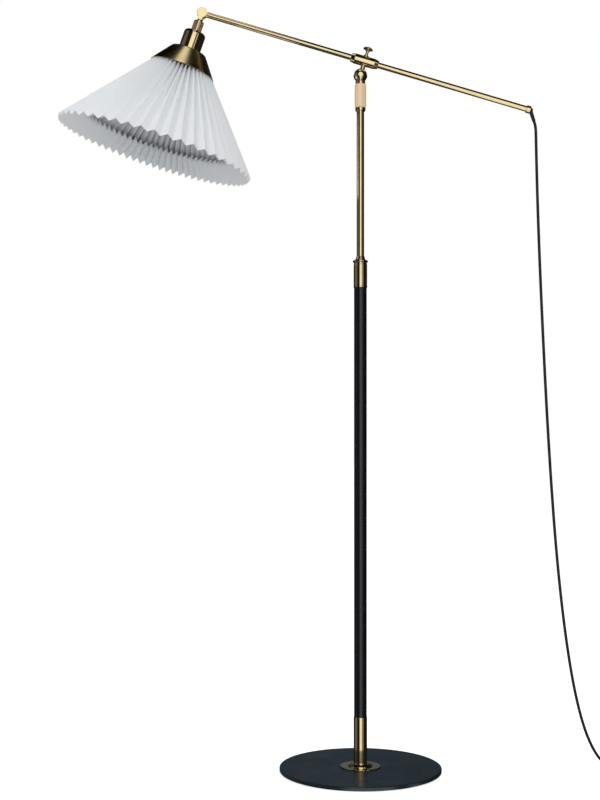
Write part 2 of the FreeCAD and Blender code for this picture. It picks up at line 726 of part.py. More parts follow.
def head():
    """The lamp head below the tip hinge: fork, lampholder, brass cap and shade fittings."""
    drum_r = DRUM_D / 2
    nipple_r = NIPPLE_D / 2
    inner = HINGE_TONGUE_T / 2 + AIR
    outer = DRUM_T / 2
    screw_r = HINGE_SCREW_D / 2
    front = across(disc(drum_r, -outer, -inner, 0.5))
    back = across(disc(drum_r, inner, outer, 0.5))
    crotch_top = -(HINGE_TONGUE_D / 2 + 2 * AIR)
    crotch = block((-nipple_r, -outer, crotch_top - CROTCH_T), (nipple_r, outer, crotch_top))
    web = block((-nipple_r, inner, crotch_top - 1), (nipple_r, outer, -nipple_r))
    fork = front.fuse(back).fuse(crotch).fuse(web).fuse(web.mirror(Vector(), Y_AXIS))
    fork = fork.fuse(disc(nipple_r, -NIPPLE_END, crotch_top - 1)).removeSplitter()
    fork = fork.cut(across(disc(screw_r + SEAT, -outer + HINGE_FRONT_SKIN, outer)))
    fork = fork.cut(disc(NIPPLE_BORE / 2, -NIPPLE_END, crotch_top - CROTCH_T - 2))
    screw = across(
        turned(
            (0, -outer + HINGE_FRONT_SKIN + AIR),
            (screw_r, -outer + HINGE_FRONT_SKIN + AIR),
            (screw_r, outer),
            (HINGE_SCREW_HEAD_D / 2, outer),
            (HINGE_SCREW_HEAD_D / 2, outer + HINGE_SCREW_HEAD_T, 0.8),
            (0, outer + HINGE_SCREW_HEAD_T),
        )
    )
    slot_y = outer + HINGE_SCREW_HEAD_T
    screw = screw.cut(block((-DRUM_D, slot_y - 0.9, -0.6), (DRUM_D, slot_y + 1, 0.6)))
    nut_top = COVER_TOP + COVER_WALL
    nut = hexagon(NUT_ACROSS, -nut_top - NUT_T, -nut_top)
    nut = nut.cut(disc(nipple_r + SEAT, -HOLDER_TOP, 0))
    shapes = {
        "head_fork": fork,
        "hinge_screw": screw,
        "nipple_nut": nut,
        "holder_cover": holder_cover(nipple_r + SEAT),
        "lampholder": lampholder(nipple_r + SEAT),
        "thread_shell": head_turned(
            (SHELL_BORE / 2, SHELL_TOP),
            (SHELL_BORE / 2 + SHELL_WALL, SHELL_TOP),
            (SHELL_BORE / 2 + SHELL_WALL, SHELL_END),
            (SHELL_BORE / 2, SHELL_END),
        ),
        "centre_contact": disc(CONTACT_D / 2, -HOLDER_FLOOR - CONTACT_T, -HOLDER_FLOOR, 0.4),
        **shade_fittings(),
    }
    return placed(shapes, HEAD_FRAME)


def holder_cover(hole_r):
    """The drawn brass cover over the lampholder."""
    cover_r = COVER_D / 2
    return head_turned(
        (hole_r, COVER_TOP),
        (cover_r, COVER_TOP, COVER_ROUND),
        (cover_r, COVER_END),
        (cover_r - COVER_WALL, COVER_END),
        (cover_r - COVER_WALL, COVER_TOP + COVER_WALL, COVER_ROUND - COVER_WALL),
        (hole_r, COVER_TOP + COVER_WALL),
    )


def lampholder(hole_r):
    """The insulating body, screwed on the nipple, with the bore for the thread shell."""
    bore_r = SHELL_BORE / 2 + SHELL_WALL + SEAT
    body_r = bore_r + HOLDER_WALL
    neck_r = HOLDER_NECK_D / 2
    neck_top = HOLDER_TOP - HOLDER_NECK_H
    nipple_stop = NIPPLE_END + AIR
    return head_turned(
        (hole_r, neck_top),
        (neck_r, neck_top, 0.5),
        (neck_r, HOLDER_TOP),
        (body_r, HOLDER_TOP, 1.5),
        (body_r, HOLDER_END, 0.8),
        (bore_r, HOLDER_END),
        (bore_r, HOLDER_FLOOR),
        (0, HOLDER_FLOOR),
        (0, nipple_stop),
        (hole_r, nipple_stop),
    )


def shade_fittings():
    """The brass cap, the carrier under it, the ring nut and the wire in the shade's top."""
    hole_r = COVER_D / 2 + SEAT
    flat_r = CARRIER_FLAT_D / 2
    under_cap = CAP_TOP + CAP_WALL + SEAT
    slope = (CAP_END_D - CAP_TOP_D) / 2 / (CAP_END - CAP_TOP)
    slant = math.hypot(1, slope)
    edge_r = GATHER_D / 2 - AIR
    cap = head_turned(
        (hole_r, CAP_TOP),
        (CAP_TOP_D / 2, CAP_TOP, CAP_ROUND),
        (CAP_END_D / 2, CAP_END),
        (CAP_END_D / 2 - CAP_WALL * slant, CAP_END),
        (CAP_TOP_D / 2 - CAP_WALL * 0.5, CAP_TOP + CAP_WALL, CAP_ROUND - CAP_WALL),
        (hole_r, CAP_TOP + CAP_WALL),
    )
    carrier = head_turned(
        (hole_r, under_cap),
        (flat_r, under_cap, 2.0),
        (edge_r, CARRIER_END),
        (edge_r - CARRIER_T * 1.3, CARRIER_END),
        (flat_r - CARRIER_T * 0.5, under_cap + CARRIER_T, 1.0),
        (hole_r, under_cap + CARRIER_T),
    )
    nut_top = under_cap + CARRIER_T
    nut = head_turned(
        (hole_r, nut_top),
        (hole_r + SHADE_NUT_WALL, nut_top, 0.5),
        (hole_r + SHADE_NUT_WALL, nut_top + SHADE_NUT_H, 0.5),
        (hole_r, nut_top + SHADE_NUT_H),
    )
    wire_depth = CAP_END - SHADE_LAP + SHADE_T + WIRE_D / 2 + SEAT
    wire_r = (GATHER_D + WIRE_D) / 2
    return {
        "shade_cap": cap,
        "shade_carrier": carrier,
        "shade_nut": nut,
        "shade_wire": wire_ring(wire_r, -wire_depth, WIRE_D),
    }


def shade_radius(depth):
    """The shade's outer radius at a depth below the tip hinge."""
    slope = (CAP_END_D - CAP_TOP_D) / 2 / (CAP_END - CAP_TOP)
    rim_r = CAP_END_D / 2 - CAP_WALL * math.hypot(1, slope) - AIR
    if depth <= CAP_END:
        return rim_r - SHADE_LAP_STEP * (CAP_END - depth) / SHADE_LAP
    share = (depth - CAP_END) / (SHADE_END - CAP_END)
    return rim_r + (SHADE_D / 2 - rim_r) * share


def shade():
    """A plain cone with the shade's outer shape, its gathered top and its folded-in hem."""
    top = CAP_END - SHADE_LAP
    top_r = shade_radius(top)
    rim_r = shade_radius(CAP_END)
    slant = math.hypot(1, (SHADE_D / 2 - rim_r) / (SHADE_END - CAP_END))
    wall = SHADE_T * slant
    cone = head_turned(
        (top_r, top),
        (rim_r, CAP_END),
        (SHADE_D / 2, SHADE_END),
        (SHADE_D / 2 - wall, SHADE_END),
        (rim_r - wall, CAP_END),
        (top_r - wall, top + SHADE_T),
        (GATHER_D / 2, top + SHADE_T),
        (GATHER_D / 2, top),
    )
    hem_top = SHADE_END - HEM_RISE
    hem = head_turned(
        (SHADE_D / 2 - wall * 0.3, SHADE_END),
        (HEM_D / 2, hem_top),
        (HEM_D / 2 + HEM_T * 0.4, hem_top - HEM_T),
        (SHADE_D / 2 - wall * 0.6, SHADE_END - HEM_T * 1.4),
    )
    return placed({"shade": cone.fuse(hem).removeSplitter()}, HEAD_FRAME)


def switch_ring():
    """The fluted ring above the lampholder that is turned to switch the lamp."""
    low = -(SWITCH_TOP + SWITCH_H)
    ring = tube(SWITCH_D / 2, NIPPLE_D / 2 + RUN, low, -SWITCH_TOP, 0.6)
    flute_r = SWITCH_FLUTE_D / 2
    for n in range(SWITCH_FLUTES):
        flute = Part.makeCylinder(
            flute_r, SWITCH_H - 3, Vector(SWITCH_D / 2 + flute_r * 0.4, 0, low + 1)
        )
        flute.rotate(Vector(), Z_AXIS, 360 * n / SWITCH_FLUTES)
        ring = ring.cut(flute)
    return placed({"switch_ring": ring}, HEAD_FRAME)


def route_radii(points):
    """The largest tangent arc at each corner of a route that its two runs allow."""
    radii = [0.0] * len(points)
    for i in range(1, len(points) - 1):
        back = points[i] - points[i - 1]
        ahead = points[i + 1] - points[i]
        shorter = min(back.Length, ahead.Length)
        radii[i] = 0.45 * shorter / math.tan(back.getAngle(ahead) / 2)
    return radii


def cord_along(name, points):
    """A round cord swept along a route of straight runs and tangent arcs."""
    radii = route_radii(points)
    path = Part.Wire(rounded_edges(points, radii, closed=False))
    section = Part.Wire(Part.makeCircle(CORD_D / 2, points[0], points[1] - points[0]))
    solid = path.makePipeShell([section], True, True)
    share = solid.Volume / (path.Length * math.pi * CORD_D**2 / 4)
    bends = ", ".join(f"{r:.0f}" for r in radii[1:-1])
    print(f"{name}: length {path.Length:.1f}, volume share {share:.4f}, radii {bends}")
    return solid


def cord():
    """The supply cord: hanging lead, put-away coil with its tie, tail and plug."""
    lead_points = [CORD_START] + [Vector(*p) for p in LEAD_ROUTE]
    lead = cord_along("lead", lead_points)
    lead = lead.fuse(Part.makeSphere(CORD_D / 2, CORD_START)).removeSplitter()
    tail = cord_along("tail", [Vector(*p) for p in TAIL_ROUTE])
    half = CORD_D / 2 + COIL_SKIN
    coil_in = COIL_INNER_R - half
    coil_out = COIL_OUTER_R + half
    coil_low = COIL_LOW - CORD_D / 2
    coil_high = COIL_HIGH + CORD_D / 2
    coil = turned(
        (coil_in, coil_low, 2.0),
        (coil_out, coil_low, 2.0),
        (coil_out, coil_high, 2.0),
        (coil_in, coil_high, 2.0),
    )
    coil.translate(COIL_CENTRE)
    return {
        "cord_lead": lead,
        "cord_coil": coil,
        "cord_tail": tail,
        "cord_tie": cord_tie(coil_in, coil_out, coil_low, coil_high),
        **plug(),
    }


def cord_tie(coil_in, coil_out, coil_low, coil_high):
    """The flat strap round the coil's turns."""
    half = TIE_W / 2
    low_x = math.sqrt(coil_in**2 - half**2) - AIR
    high_x = coil_out + AIR
    strap = block(
        (low_x - TIE_T, -half, coil_low - TIE_T - SEAT),
        (high_x + TIE_T, half, coil_high + TIE_T + SEAT),
    )
    strap = strap.cut(block((low_x, -half, coil_low - SEAT), (high_x, half, coil_high + SEAT)))
    strap.rotate(Vector(), Z_AXIS, TIE_ANGLE)
    strap.translate(COIL_CENTRE)
    return strap


def plug():
    """A flat two-pin plug lying beside the coil, built along +X from its cord end."""
    body_low = (PLUG_RELIEF_L, -PLUG_W / 2, -PLUG_T / 2)
    body_high = (PLUG_RELIEF_L + PLUG_L, PLUG_W / 2, PLUG_T / 2)
    body = block(body_low, body_high)
    body = body.makeFillet(PLUG_ROUND, body.Edges)
    relief = along(
        turned(
            (0, 0),
            (PLUG_RELIEF_TIP_D / 2, 0, 0.4),
            (PLUG_RELIEF_FOOT_D / 2, PLUG_RELIEF_L + 2),
            (0, PLUG_RELIEF_L + 2),
        )
    )
    body = body.fuse(relief).removeSplitter()
    face = PLUG_RELIEF_L + PLUG_L
    pins = []
    for side in (-1, 1):
        pin = along(disc(PIN_D / 2, face, face + PIN_L, PIN_D * 0.3))
        pin.translate(Vector(0, side * PIN_SPACING / 2, 0))
        pins.append(pin)
    return placed({"plug": body, "plug_pins": Part.Compound(pins)}, PLUG_FRAME)


def main():
    """Builds every piece and writes it to its own file."""
    os.makedirs("parts", exist_ok=True)
    sections = (
        base, outer_mast, clamp_nut, guide, inner_mast, slider, liner, thumb_screw,
        arm, gland, head, switch_ring, shade, cord,
    )
    for section in sections:
        for name, shape in section().items():
            shape.exportStep(f"parts/{name}.step")
            print(f"{name}: {len(shape.Solids)} solid(s), {shape.Volume / 1000:.2f} cm3")


main()
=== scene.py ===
"""Looks of the bridge floor lamp: camera, cord, pleated shade, wooden grip, finishes, studio.

Everything is in metres in the part's own frame: +Z up, the arm in the XZ plane and the
origin at the middle of the foot's underside. The CAD nodes stay where they are and get
their finishes here. The soft and turned pieces that replace some of them are built here.
"""

import logging
import math
import random
from dataclasses import dataclass, field
from enum import Enum
from typing import Callable, Sequence

import bmesh
import bpy
from mathutils import Matrix, Vector


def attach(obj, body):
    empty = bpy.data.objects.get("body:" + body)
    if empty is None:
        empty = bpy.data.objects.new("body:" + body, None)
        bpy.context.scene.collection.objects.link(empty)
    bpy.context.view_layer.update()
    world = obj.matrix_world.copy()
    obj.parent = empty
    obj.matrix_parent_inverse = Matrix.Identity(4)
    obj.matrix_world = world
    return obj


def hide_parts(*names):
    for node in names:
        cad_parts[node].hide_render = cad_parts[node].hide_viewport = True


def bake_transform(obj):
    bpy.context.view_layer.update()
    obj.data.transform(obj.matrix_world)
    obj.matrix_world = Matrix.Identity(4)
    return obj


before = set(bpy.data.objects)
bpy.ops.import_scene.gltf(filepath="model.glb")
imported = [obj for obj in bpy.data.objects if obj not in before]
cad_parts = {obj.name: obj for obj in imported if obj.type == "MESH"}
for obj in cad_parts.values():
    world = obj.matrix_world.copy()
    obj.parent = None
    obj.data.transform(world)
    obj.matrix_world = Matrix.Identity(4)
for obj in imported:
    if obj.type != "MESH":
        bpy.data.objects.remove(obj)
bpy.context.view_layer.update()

log = logging.getLogger("floor_lamp")

Colour = tuple[float, float, float]
Point = tuple[float, float, float]

MM = 0.001

# ---- places that the looks share with the part's source ---------------------------------
TIP = Vector((-0.273757, 0.0, 1.310772))
HEAD_LEAN = math.radians(19.4)
ARM_SLOPE = math.radians(16.42)
ARM_MIDDLE = Vector((0.007293, 0.0, 1.227948))
CORD_PIVOT = Vector((0.300828, 0.0, 1.122692))
RELIEF_DOWN = Vector((0.30868, 0.0, -0.95116))


class Carrier(Enum):
    """The moving bodies that new pieces ride on."""

    BASE = "base"
    MAST = "mast"
    ARM = "arm"
    HEAD = "head"
    CORD = "cord"
    GLAND = "cord_gland"


class Slot(Enum):
    """The record's material slots."""

    LACQUER = "black_lacquer"
    FELT = "felt"
    POLISHED = "polished_brass"
    SATIN = "satin_brass"
    STEEL = "steel"
    NYLON = "nylon"
    BLACK_PLASTIC = "black_plastic"
    HOLDER = "holder_plastic"
    MAPLE = "maple"
    FOIL = "pleated_foil"
    SHEATH = "cord_sheath"


# ---- shader graphs ------------------------------------------------------------------------
class Graph:
    """Adds nodes to one shader tree and joins them by short calls."""

    def __init__(self, tree: bpy.types.NodeTree) -> None:
        """Starts from an empty tree.

        Args:
            tree: The node tree of a material, a group or the world.
        """
        self.tree = tree
        self.tree.nodes.clear()

    def add(self, kind: str, **settings: object) -> bpy.types.Node:
        """Adds one node.

        Args:
            kind: The node's type without its ShaderNode prefix.
            settings: Properties of the node, and start values of its inputs by index as
                i0, i1 and so on or by name with underscores for spaces.

        Returns:
            The node.
        """
        known = kind if kind.startswith("NodeGroup") else f"ShaderNode{kind}"
        node = self.tree.nodes.new(known)
        for name, value in settings.items():
            if name[0] == "i" and name[1:].isdigit():
                node.inputs[int(name[1:])].default_value = value
            elif hasattr(node, name):
                setattr(node, name, value)
            else:
                node.inputs[name.replace("_", " ")].default_value = value
        return node

    def join(self, source: bpy.types.NodeSocket, target: bpy.types.NodeSocket) -> None:
        """Joins an output to an input."""
        self.tree.links.new(source, target)

    def maths(self, operation: str, *values: object) -> bpy.types.NodeSocket:
        """A Math node.

        Args:
            operation: The node's operation.
            values: Numbers, or outputs of other nodes.

        Returns:
            The node's output.
        """
        node = self.add("Math", operation=operation)
        for socket, value in zip(node.inputs, values):
            if isinstance(value, bpy.types.NodeSocket):
                self.join(value, socket)
            else:
                socket.default_value = value
        return node.outputs[0]

    def ramp(
        self,
        source: bpy.types.NodeSocket,
        stops: Sequence[tuple[float, Colour]],
    ) -> bpy.types.NodeSocket:
        """A Color Ramp node.

        Args:
            source: What runs along the ramp.
            stops: Position and colour of each stop, in order.

        Returns:
            The ramp's colour output.
        """
        node = self.add("ValToRGB")
        elements = node.color_ramp.elements
        while len(elements) < len(stops):
            elements.new(1.0)
        for element, (place, colour) in zip(elements, stops):
            element.position = place
            element.color = (*colour, 1.0)
        self.join(source, node.inputs[0])
        return node.outputs[0]

    def object_place(
        self, centre: Vector = Vector(), turn: float = 0.0
    ) -> bpy.types.NodeSocket:
        """Object coordinates about a centre, turned about Y.

        Args:
            centre: The pattern's own origin.
            turn: Angle about Y that lays the pattern's axes along the piece.

        Returns:
            The coordinates.
        """
        coordinates = self.add("TexCoord").outputs["Object"]
        moved = self.add("VectorMath", operation="SUBTRACT", i1=centre)
        self.join(coordinates, moved.inputs[0])
        turned = self.add("Mapping", Rotation=(0, turn, 0))
        self.join(moved.outputs[0], turned.inputs["Vector"])
        return turned.outputs[0]


def shader_group(
    name: str,
    inputs: dict[str, tuple[str, object]],
    outputs: dict[str, str],
    fill: Callable[[Graph, bpy.types.Node, bpy.types.Node], None],
) -> bpy.types.NodeTree:
    """A shader node group, built once and found again by its name.

    Args:
        name: The group's name.
        inputs: Socket type and start value of each named input.
        outputs: Socket type of each named output.
        fill: Adds the group's nodes between its input and output nodes.

    Returns:
        The group's tree.
    """
    found = bpy.data.node_groups.get(name)
    if found:
        return found
    tree = bpy.data.node_groups.new(name, "ShaderNodeTree")
    for label, (kind, value) in inputs.items():
        socket = tree.interface.new_socket(name=label, in_out="INPUT", socket_type=kind)
        if value is not None:
            socket.default_value = value
    for label, kind in outputs.items():
        tree.interface.new_socket(name=label, in_out="OUTPUT", socket_type=kind)
    graph = Graph(tree)
    fill(graph, graph.add("NodeGroupInput"), graph.add("NodeGroupOutput"))
    return tree


def blotches() -> bpy.types.NodeTree:
    """Soft uneven patches, as hands and polish leave on metal and lacquer."""

    def fill(graph: Graph, given: bpy.types.Node, result: bpy.types.Node) -> None:
        """Two noises of different size, spread between the low and high values."""
        broad = graph.add("TexNoise", Detail=2.0, Roughness=0.5)
        small = graph.add("TexNoise", Detail=5.0, Roughness=0.65)
        graph.join(given.outputs["Vector"], broad.inputs["Vector"])
        graph.join(given.outputs["Scale"], broad.inputs["Scale"])
        graph.join(given.outputs["Vector"], small.inputs["Vector"])
        graph.join(
            graph.maths("MULTIPLY", given.outputs["Scale"], 4.3), small.inputs["Scale"]
        )
        both = graph.maths(
            "ADD",
            graph.maths("MULTIPLY", broad.outputs[0], 0.65),
            graph.maths("MULTIPLY", small.outputs[0], 0.35),
        )
        spread = graph.add("MapRange", From_Min=0.36, From_Max=0.64)
        graph.join(both, spread.inputs["Value"])
        graph.join(given.outputs["Low"], spread.inputs["To Min"])
        graph.join(given.outputs["High"], spread.inputs["To Max"])
        graph.join(spread.outputs[0], result.inputs["Value"])

    return shader_group(
        "blotches",
        {
            "Vector": ("NodeSocketVector", None),
            "Scale": ("NodeSocketFloat", 20.0),
            "Low": ("NodeSocketFloat", 0.0),
            "High": ("NodeSocketFloat", 1.0),
        },
        {"Value": "NodeSocketFloat"},
        fill,
    )


def drawn_lines() -> bpy.types.NodeTree:
    """Fine lines along X of the given coordinates, as brushing or wood fibres leave."""

    def fill(graph: Graph, given: bpy.types.Node, result: bpy.types.Node) -> None:
        """Noise that is stretched along X."""
        pulled = graph.add("VectorMath", operation="MULTIPLY")
        graph.join(given.outputs["Vector"], pulled.inputs[0])
        shape = graph.add("CombineXYZ", i1=1.0, i2=1.0)
        graph.join(given.outputs["Length"], shape.inputs[0])
        graph.join(shape.outputs[0], pulled.inputs[1])
        noise = graph.add("TexNoise", Detail=4.0, Roughness=0.7)
        graph.join(pulled.outputs[0], noise.inputs["Vector"])
        graph.join(given.outputs["Scale"], noise.inputs["Scale"])
        graph.join(noise.outputs[0], result.inputs["Value"])

    return shader_group(
        "drawn_lines",
        {
            "Vector": ("NodeSocketVector", None),
            "Scale": ("NodeSocketFloat", 800.0),
            "Length": ("NodeSocketFloat", 0.03),
        },
        {"Value": "NodeSocketFloat"},
        fill,
    )


def grit() -> bpy.types.NodeTree:
    """A fine even roughness, as on felt, sprayed lacquer and moulded plastic."""

    def fill(graph: Graph, given: bpy.types.Node, result: bpy.types.Node) -> None:
        """Noise and rounded cells together."""
        noise = graph.add("TexNoise", Detail=6.0, Roughness=0.7)
        cells = graph.add("TexVoronoi")
        for node in (noise, cells):
            graph.join(given.outputs["Vector"], node.inputs["Vector"])
            graph.join(given.outputs["Scale"], node.inputs["Scale"])
        both = graph.maths("MULTIPLY_ADD", cells.outputs["Distance"], 0.4, noise.outputs[0])
        graph.join(both, result.inputs["Value"])

    return shader_group(
        "grit",
        {
            "Vector": ("NodeSocketVector", None),
            "Scale": ("NodeSocketFloat", 1500.0),
        },
        {"Value": "NodeSocketFloat"},
        fill,
    )


def use_group(
    graph: Graph, tree: bpy.types.NodeTree, place: bpy.types.NodeSocket, **values: float
) -> bpy.types.NodeSocket:
    """Places a group in a material.

    Args:
        graph: The material's graph.
        tree: The group's tree.
        place: The coordinates that the pattern follows.
        values: The group's other inputs, by name.

    Returns:
        The group's value output.
    """
    node = graph.add("Group")
    node.node_tree = tree
    graph.join(place, node.inputs["Vector"])
    for name, value in values.items():
        node.inputs[name].default_value = value
    return node.outputs["Value"]


@dataclass(frozen=True)
class Axis:
    """Where a piece's own axis lies, so that a pattern can follow it: upright unless given."""

    centre: Vector = field(default_factory=Vector)
    turn: float = math.radians(90)

    @staticmethod
    def arm() -> "Axis":
        """The arm's axis."""
        return Axis(ARM_MIDDLE, -ARM_SLOPE)

    @staticmethod
    def head() -> "Axis":
        """The lamp head's axis."""
        return Axis(TIP, math.radians(90) - HEAD_LEAN)


# ---- finishes -----------------------------------------------------------------------------
@dataclass(frozen=True)
class Finish:
    """What every finish has: a name, a slot, a colour and a roughness."""

    name: str
    slot: Slot
    colour: Colour
    roughness: float

    def settings(self) -> dict[str, object]:
        """Values that are the same all over the surface, by socket name."""
        return {"Base_Color": (*self.colour, 1.0), "Roughness": self.roughness}

    def tinted(self, factor: float, lift: float = 0.0) -> Colour:
        """The finish's colour, made darker or lighter."""
        return tuple(min(1.0, c * factor + lift) for c in self.colour)

    def vary_tone(
        self,
        graph: Graph,
        shader: bpy.types.Node,
        pattern: bpy.types.NodeSocket,
        *stops: tuple[float, Colour],
    ) -> None:
        """Lets the colour follow a pattern.

        Args:
            graph: The material's graph.
            shader: The Principled BSDF.
            pattern: What runs along the colours.
            stops: Position and colour of each stop, in order.
        """
        graph.join(graph.ramp(pattern, stops), shader.inputs["Base Color"])

    def vary_gloss(
        self,
        graph: Graph,
        shader: bpy.types.Node,
        place: bpy.types.NodeSocket,
        scale: float,
        spread: float,
    ) -> None:
        """Lets the roughness rise in patches.

        Args:
            graph: The material's graph.
            shader: The Principled BSDF.
            place: The coordinates that the patches follow.
            scale: How small the patches are.
            spread: How far the roughness rises above the finish's own.
        """
        high = self.roughness + spread
        rough = use_group(
            graph, blotches(), place, Scale=scale, Low=self.roughness, High=high
        )
        graph.join(rough, shader.inputs["Roughness"])

    def detail(self, graph: Graph, shader: bpy.types.Node) -> None:
        """Adds what varies over the surface. Each finish has its own."""

    def material(self) -> bpy.types.Material:
        """The finish as a material, built once.

        Returns:
            The material, which has the finish's name.
        """
        found = bpy.data.materials.get(self.name)
        if found:
            return found
        made = bpy.data.materials.new(self.name)
        made.use_nodes = True
        graph = Graph(made.node_tree)
        shader = graph.add("BsdfPrincipled", **self.settings())
        output = graph.add("OutputMaterial")
        graph.join(shader.outputs[0], output.inputs["Surface"])
        self.detail(graph, shader)
        made.diffuse_color = (*self.colour, 1.0)
        return made


def bump(
    graph: Graph, shader: bpy.types.Node, height: bpy.types.NodeSocket, depth: float
) -> None:
    """Raises the surface by a pattern.

    Args:
        graph: The material's graph.
        shader: The Principled BSDF.
        height: The pattern.
        depth: Its full height in metres.
    """
    node = graph.add("Bump", Strength=1.0, Distance=depth)
    graph.join(height, node.inputs["Height"])
    graph.join(node.outputs["Normal"], shader.inputs["Normal"])


@dataclass(frozen=True)
class Brass(Finish):
    """Lacquered brass with lines from the lathe or the brush, and a few dull patches."""

    axis: Axis = field(default_factory=Axis)
    line_scale: float = 900.0
    line_length: float = 12.0
    line_depth: float = 0.0
    dull: float = 0.025

    def settings(self) -> dict[str, object]:
        """Metal under a thin clear lacquer."""
        return {
            "Base_Color": (*self.colour, 1.0),
            "Metallic": 1.0,
            "Coat_Weight": 0.12,
            "Coat_Roughness": 0.08,
        }

    def detail(self, graph: Graph, shader: bpy.types.Node) -> None:
        """Colour drifts a little, roughness has patches, and the lines are raised where given
        a depth.
        """
        place = graph.object_place(self.axis.centre, self.axis.turn)
        patches = use_group(graph, blotches(), place, Scale=34.0)
        tones = (0.0, self.tinted(0.90)), (0.55, self.colour), (1.0, self.tinted(1.05))
        self.vary_tone(graph, shader, patches, *tones)
        high = self.roughness + self.dull
        rough = use_group(
            graph, blotches(), place, Scale=60.0, Low=self.roughness, High=high
        )
        lines = use_group(
            graph, drawn_lines(), place, Scale=self.line_scale, Length=self.line_length
        )
        graph.join(
            graph.maths("MULTIPLY_ADD", lines, 0.03, graph.maths("SUBTRACT", rough, 0.015)),
            shader.inputs["Roughness"],
        )
        if self.line_depth:
            bump(graph, shader, lines, self.line_depth)


@dataclass(frozen=True)
class Lacquer(Finish):
    """Black stove lacquer: nearly smooth, with dust and handling marks."""

    sheen: float = 0.35
    peel_scale: float = 420.0
    peel_depth: float = 14e-6

    def settings(self) -> dict[str, object]:
        """A dark base with a clear coat."""
        return {
            "Base_Color": (*self.colour, 1.0),
            "Coat_Weight": self.sheen,
            "Coat_Roughness": 0.22,
            "Specular_IOR_Level": 0.5,
        }

    def detail(self, graph: Graph, shader: bpy.types.Node) -> None:
        """Uneven gloss, a little dust and the skin of the spray."""
        place = graph.object_place()
        self.vary_gloss(graph, shader, place, 16.0, 0.1)
        dust = use_group(graph, blotches(), place, Scale=90.0)
        tones = (0.0, self.colour), (0.8, self.tinted(1.15)), (1.0, self.tinted(1.7, 0.002))
        self.vary_tone(graph, shader, dust, *tones)
        skin = use_group(graph, grit(), place, Scale=self.peel_scale)
        bump(graph, shader, skin, self.peel_depth)


@dataclass(frozen=True)
class Felt(Finish):
    """Pressed wool felt under the foot."""

    pile: float = 0.35e-3

    def settings(self) -> dict[str, object]:
        """Rough cloth with fuzz at its edges."""
        return {"Roughness": self.roughness, "Sheen_Weight": 0.35, "Sheen_Roughness": 0.6}

    def detail(self, graph: Graph, shader: bpy.types.Node) -> None:
        """Mixed fibres in colour and height."""
        place = graph.object_place()
        fibres = use_group(graph, grit(), place, Scale=900.0)
        self.vary_tone(graph, shader, fibres, (0.2, self.tinted(0.6)), (0.9, self.tinted(1.6)))
        bump(graph, shader, fibres, self.pile)


@dataclass(frozen=True)
class Steel(Finish):
    """Zinc-plated steel inside the foot, the mast and the shade's top."""

    def settings(self) -> dict[str, object]:
        """Bare bright metal."""
        return {"Metallic": 1.0}

    def detail(self, graph: Graph, shader: bpy.types.Node) -> None:
        """Cloudy plating."""
        place = graph.object_place()
        clouds = use_group(graph, blotches(), place, Scale=70.0)
        self.vary_tone(graph, shader, clouds, (0.0, self.tinted(0.8)), (1.0, self.colour))
        self.vary_gloss(graph, shader, place, 120.0, 0.15)


@dataclass(frozen=True)
class Moulded(Finish):
    """Moulded plastic with a fine spark-eroded grain."""

    grain_scale: float = 1100.0
    grain_depth: float = 25e-6

    def settings(self) -> dict[str, object]:
        """An even dull plastic."""
        return {"Base_Color": (*self.colour, 1.0), "IOR": 1.48}

    def detail(self, graph: Graph, shader: bpy.types.Node) -> None:
        """The mould's grain, and parts that are rubbed smoother."""
        place = graph.object_place()
        self.vary_gloss(graph, shader, place, 55.0, 0.14)
        clouds = use_group(graph, blotches(), place, Scale=25.0)
        self.vary_tone(graph, shader, clouds, (0.0, self.colour), (1.0, self.tinted(1.25)))
        grain = use_group(graph, grit(), place, Scale=self.grain_scale)
        bump(graph, shader, grain, self.grain_depth)


@dataclass(frozen=True)
class Maple(Finish):
    """Oiled maple with its fibres along the grip."""

    dark: Colour = (0.66, 0.43, 0.22)
    pith: Point = (0.004, 0.045, 1.168)
    pore_depth: float = 4e-6

    def settings(self) -> dict[str, object]:
        """Wood under a thin oil film."""
        return {"Coat_Weight": 0.15, "Coat_Roughness": 0.3, "IOR": 1.5}

    def detail(self, graph: Graph, shader: bpy.types.Node) -> None:
        """Growth rings cut off-centre, long fibres and short pores."""
        place = graph.object_place(Vector(self.pith), math.radians(90))
        warped = graph.add("TexNoise", Scale=28.0, Detail=3.0, Roughness=0.55)
        stretched = graph.add("VectorMath", operation="MULTIPLY", i1=(0.25, 1.0, 1.0))
        graph.join(place, stretched.inputs[0])
        graph.join(stretched.outputs[0], warped.inputs["Vector"])
        apart = graph.add("SeparateXYZ")
        graph.join(place, apart.inputs[0])
        across = graph.maths(
            "SQRT",
            graph.maths(
                "ADD",
                graph.maths("POWER", apart.outputs[1], 2.0),
                graph.maths("POWER", apart.outputs[2], 2.0),
            ),
        )
        bent = graph.maths("MULTIPLY_ADD", warped.outputs[0], 0.004, across)
        rings = graph.maths("FRACT", graph.maths("MULTIPLY", bent, 420.0))
        fibres = use_group(graph, drawn_lines(), place, Scale=1400.0, Length=0.03)
        pores = use_group(graph, drawn_lines(), place, Scale=2600.0, Length=0.08)
        share = graph.maths(
            "ADD",
            graph.maths("MULTIPLY", graph.maths("PINGPONG", rings, 0.5), 0.85),
            graph.maths("MULTIPLY", fibres, 0.55),
        )
        tones = (0.25, self.tinted(1.08)), (0.55, self.colour), (0.95, self.dark)
        self.vary_tone(graph, shader, share, *tones)
        spread = graph.add("MapRange", To_Min=self.roughness, To_Max=self.roughness + 0.2)
        graph.join(fibres, spread.inputs["Value"])
        graph.join(spread.outputs[0], shader.inputs["Roughness"])
        bump(graph, shader, pores, self.pore_depth)


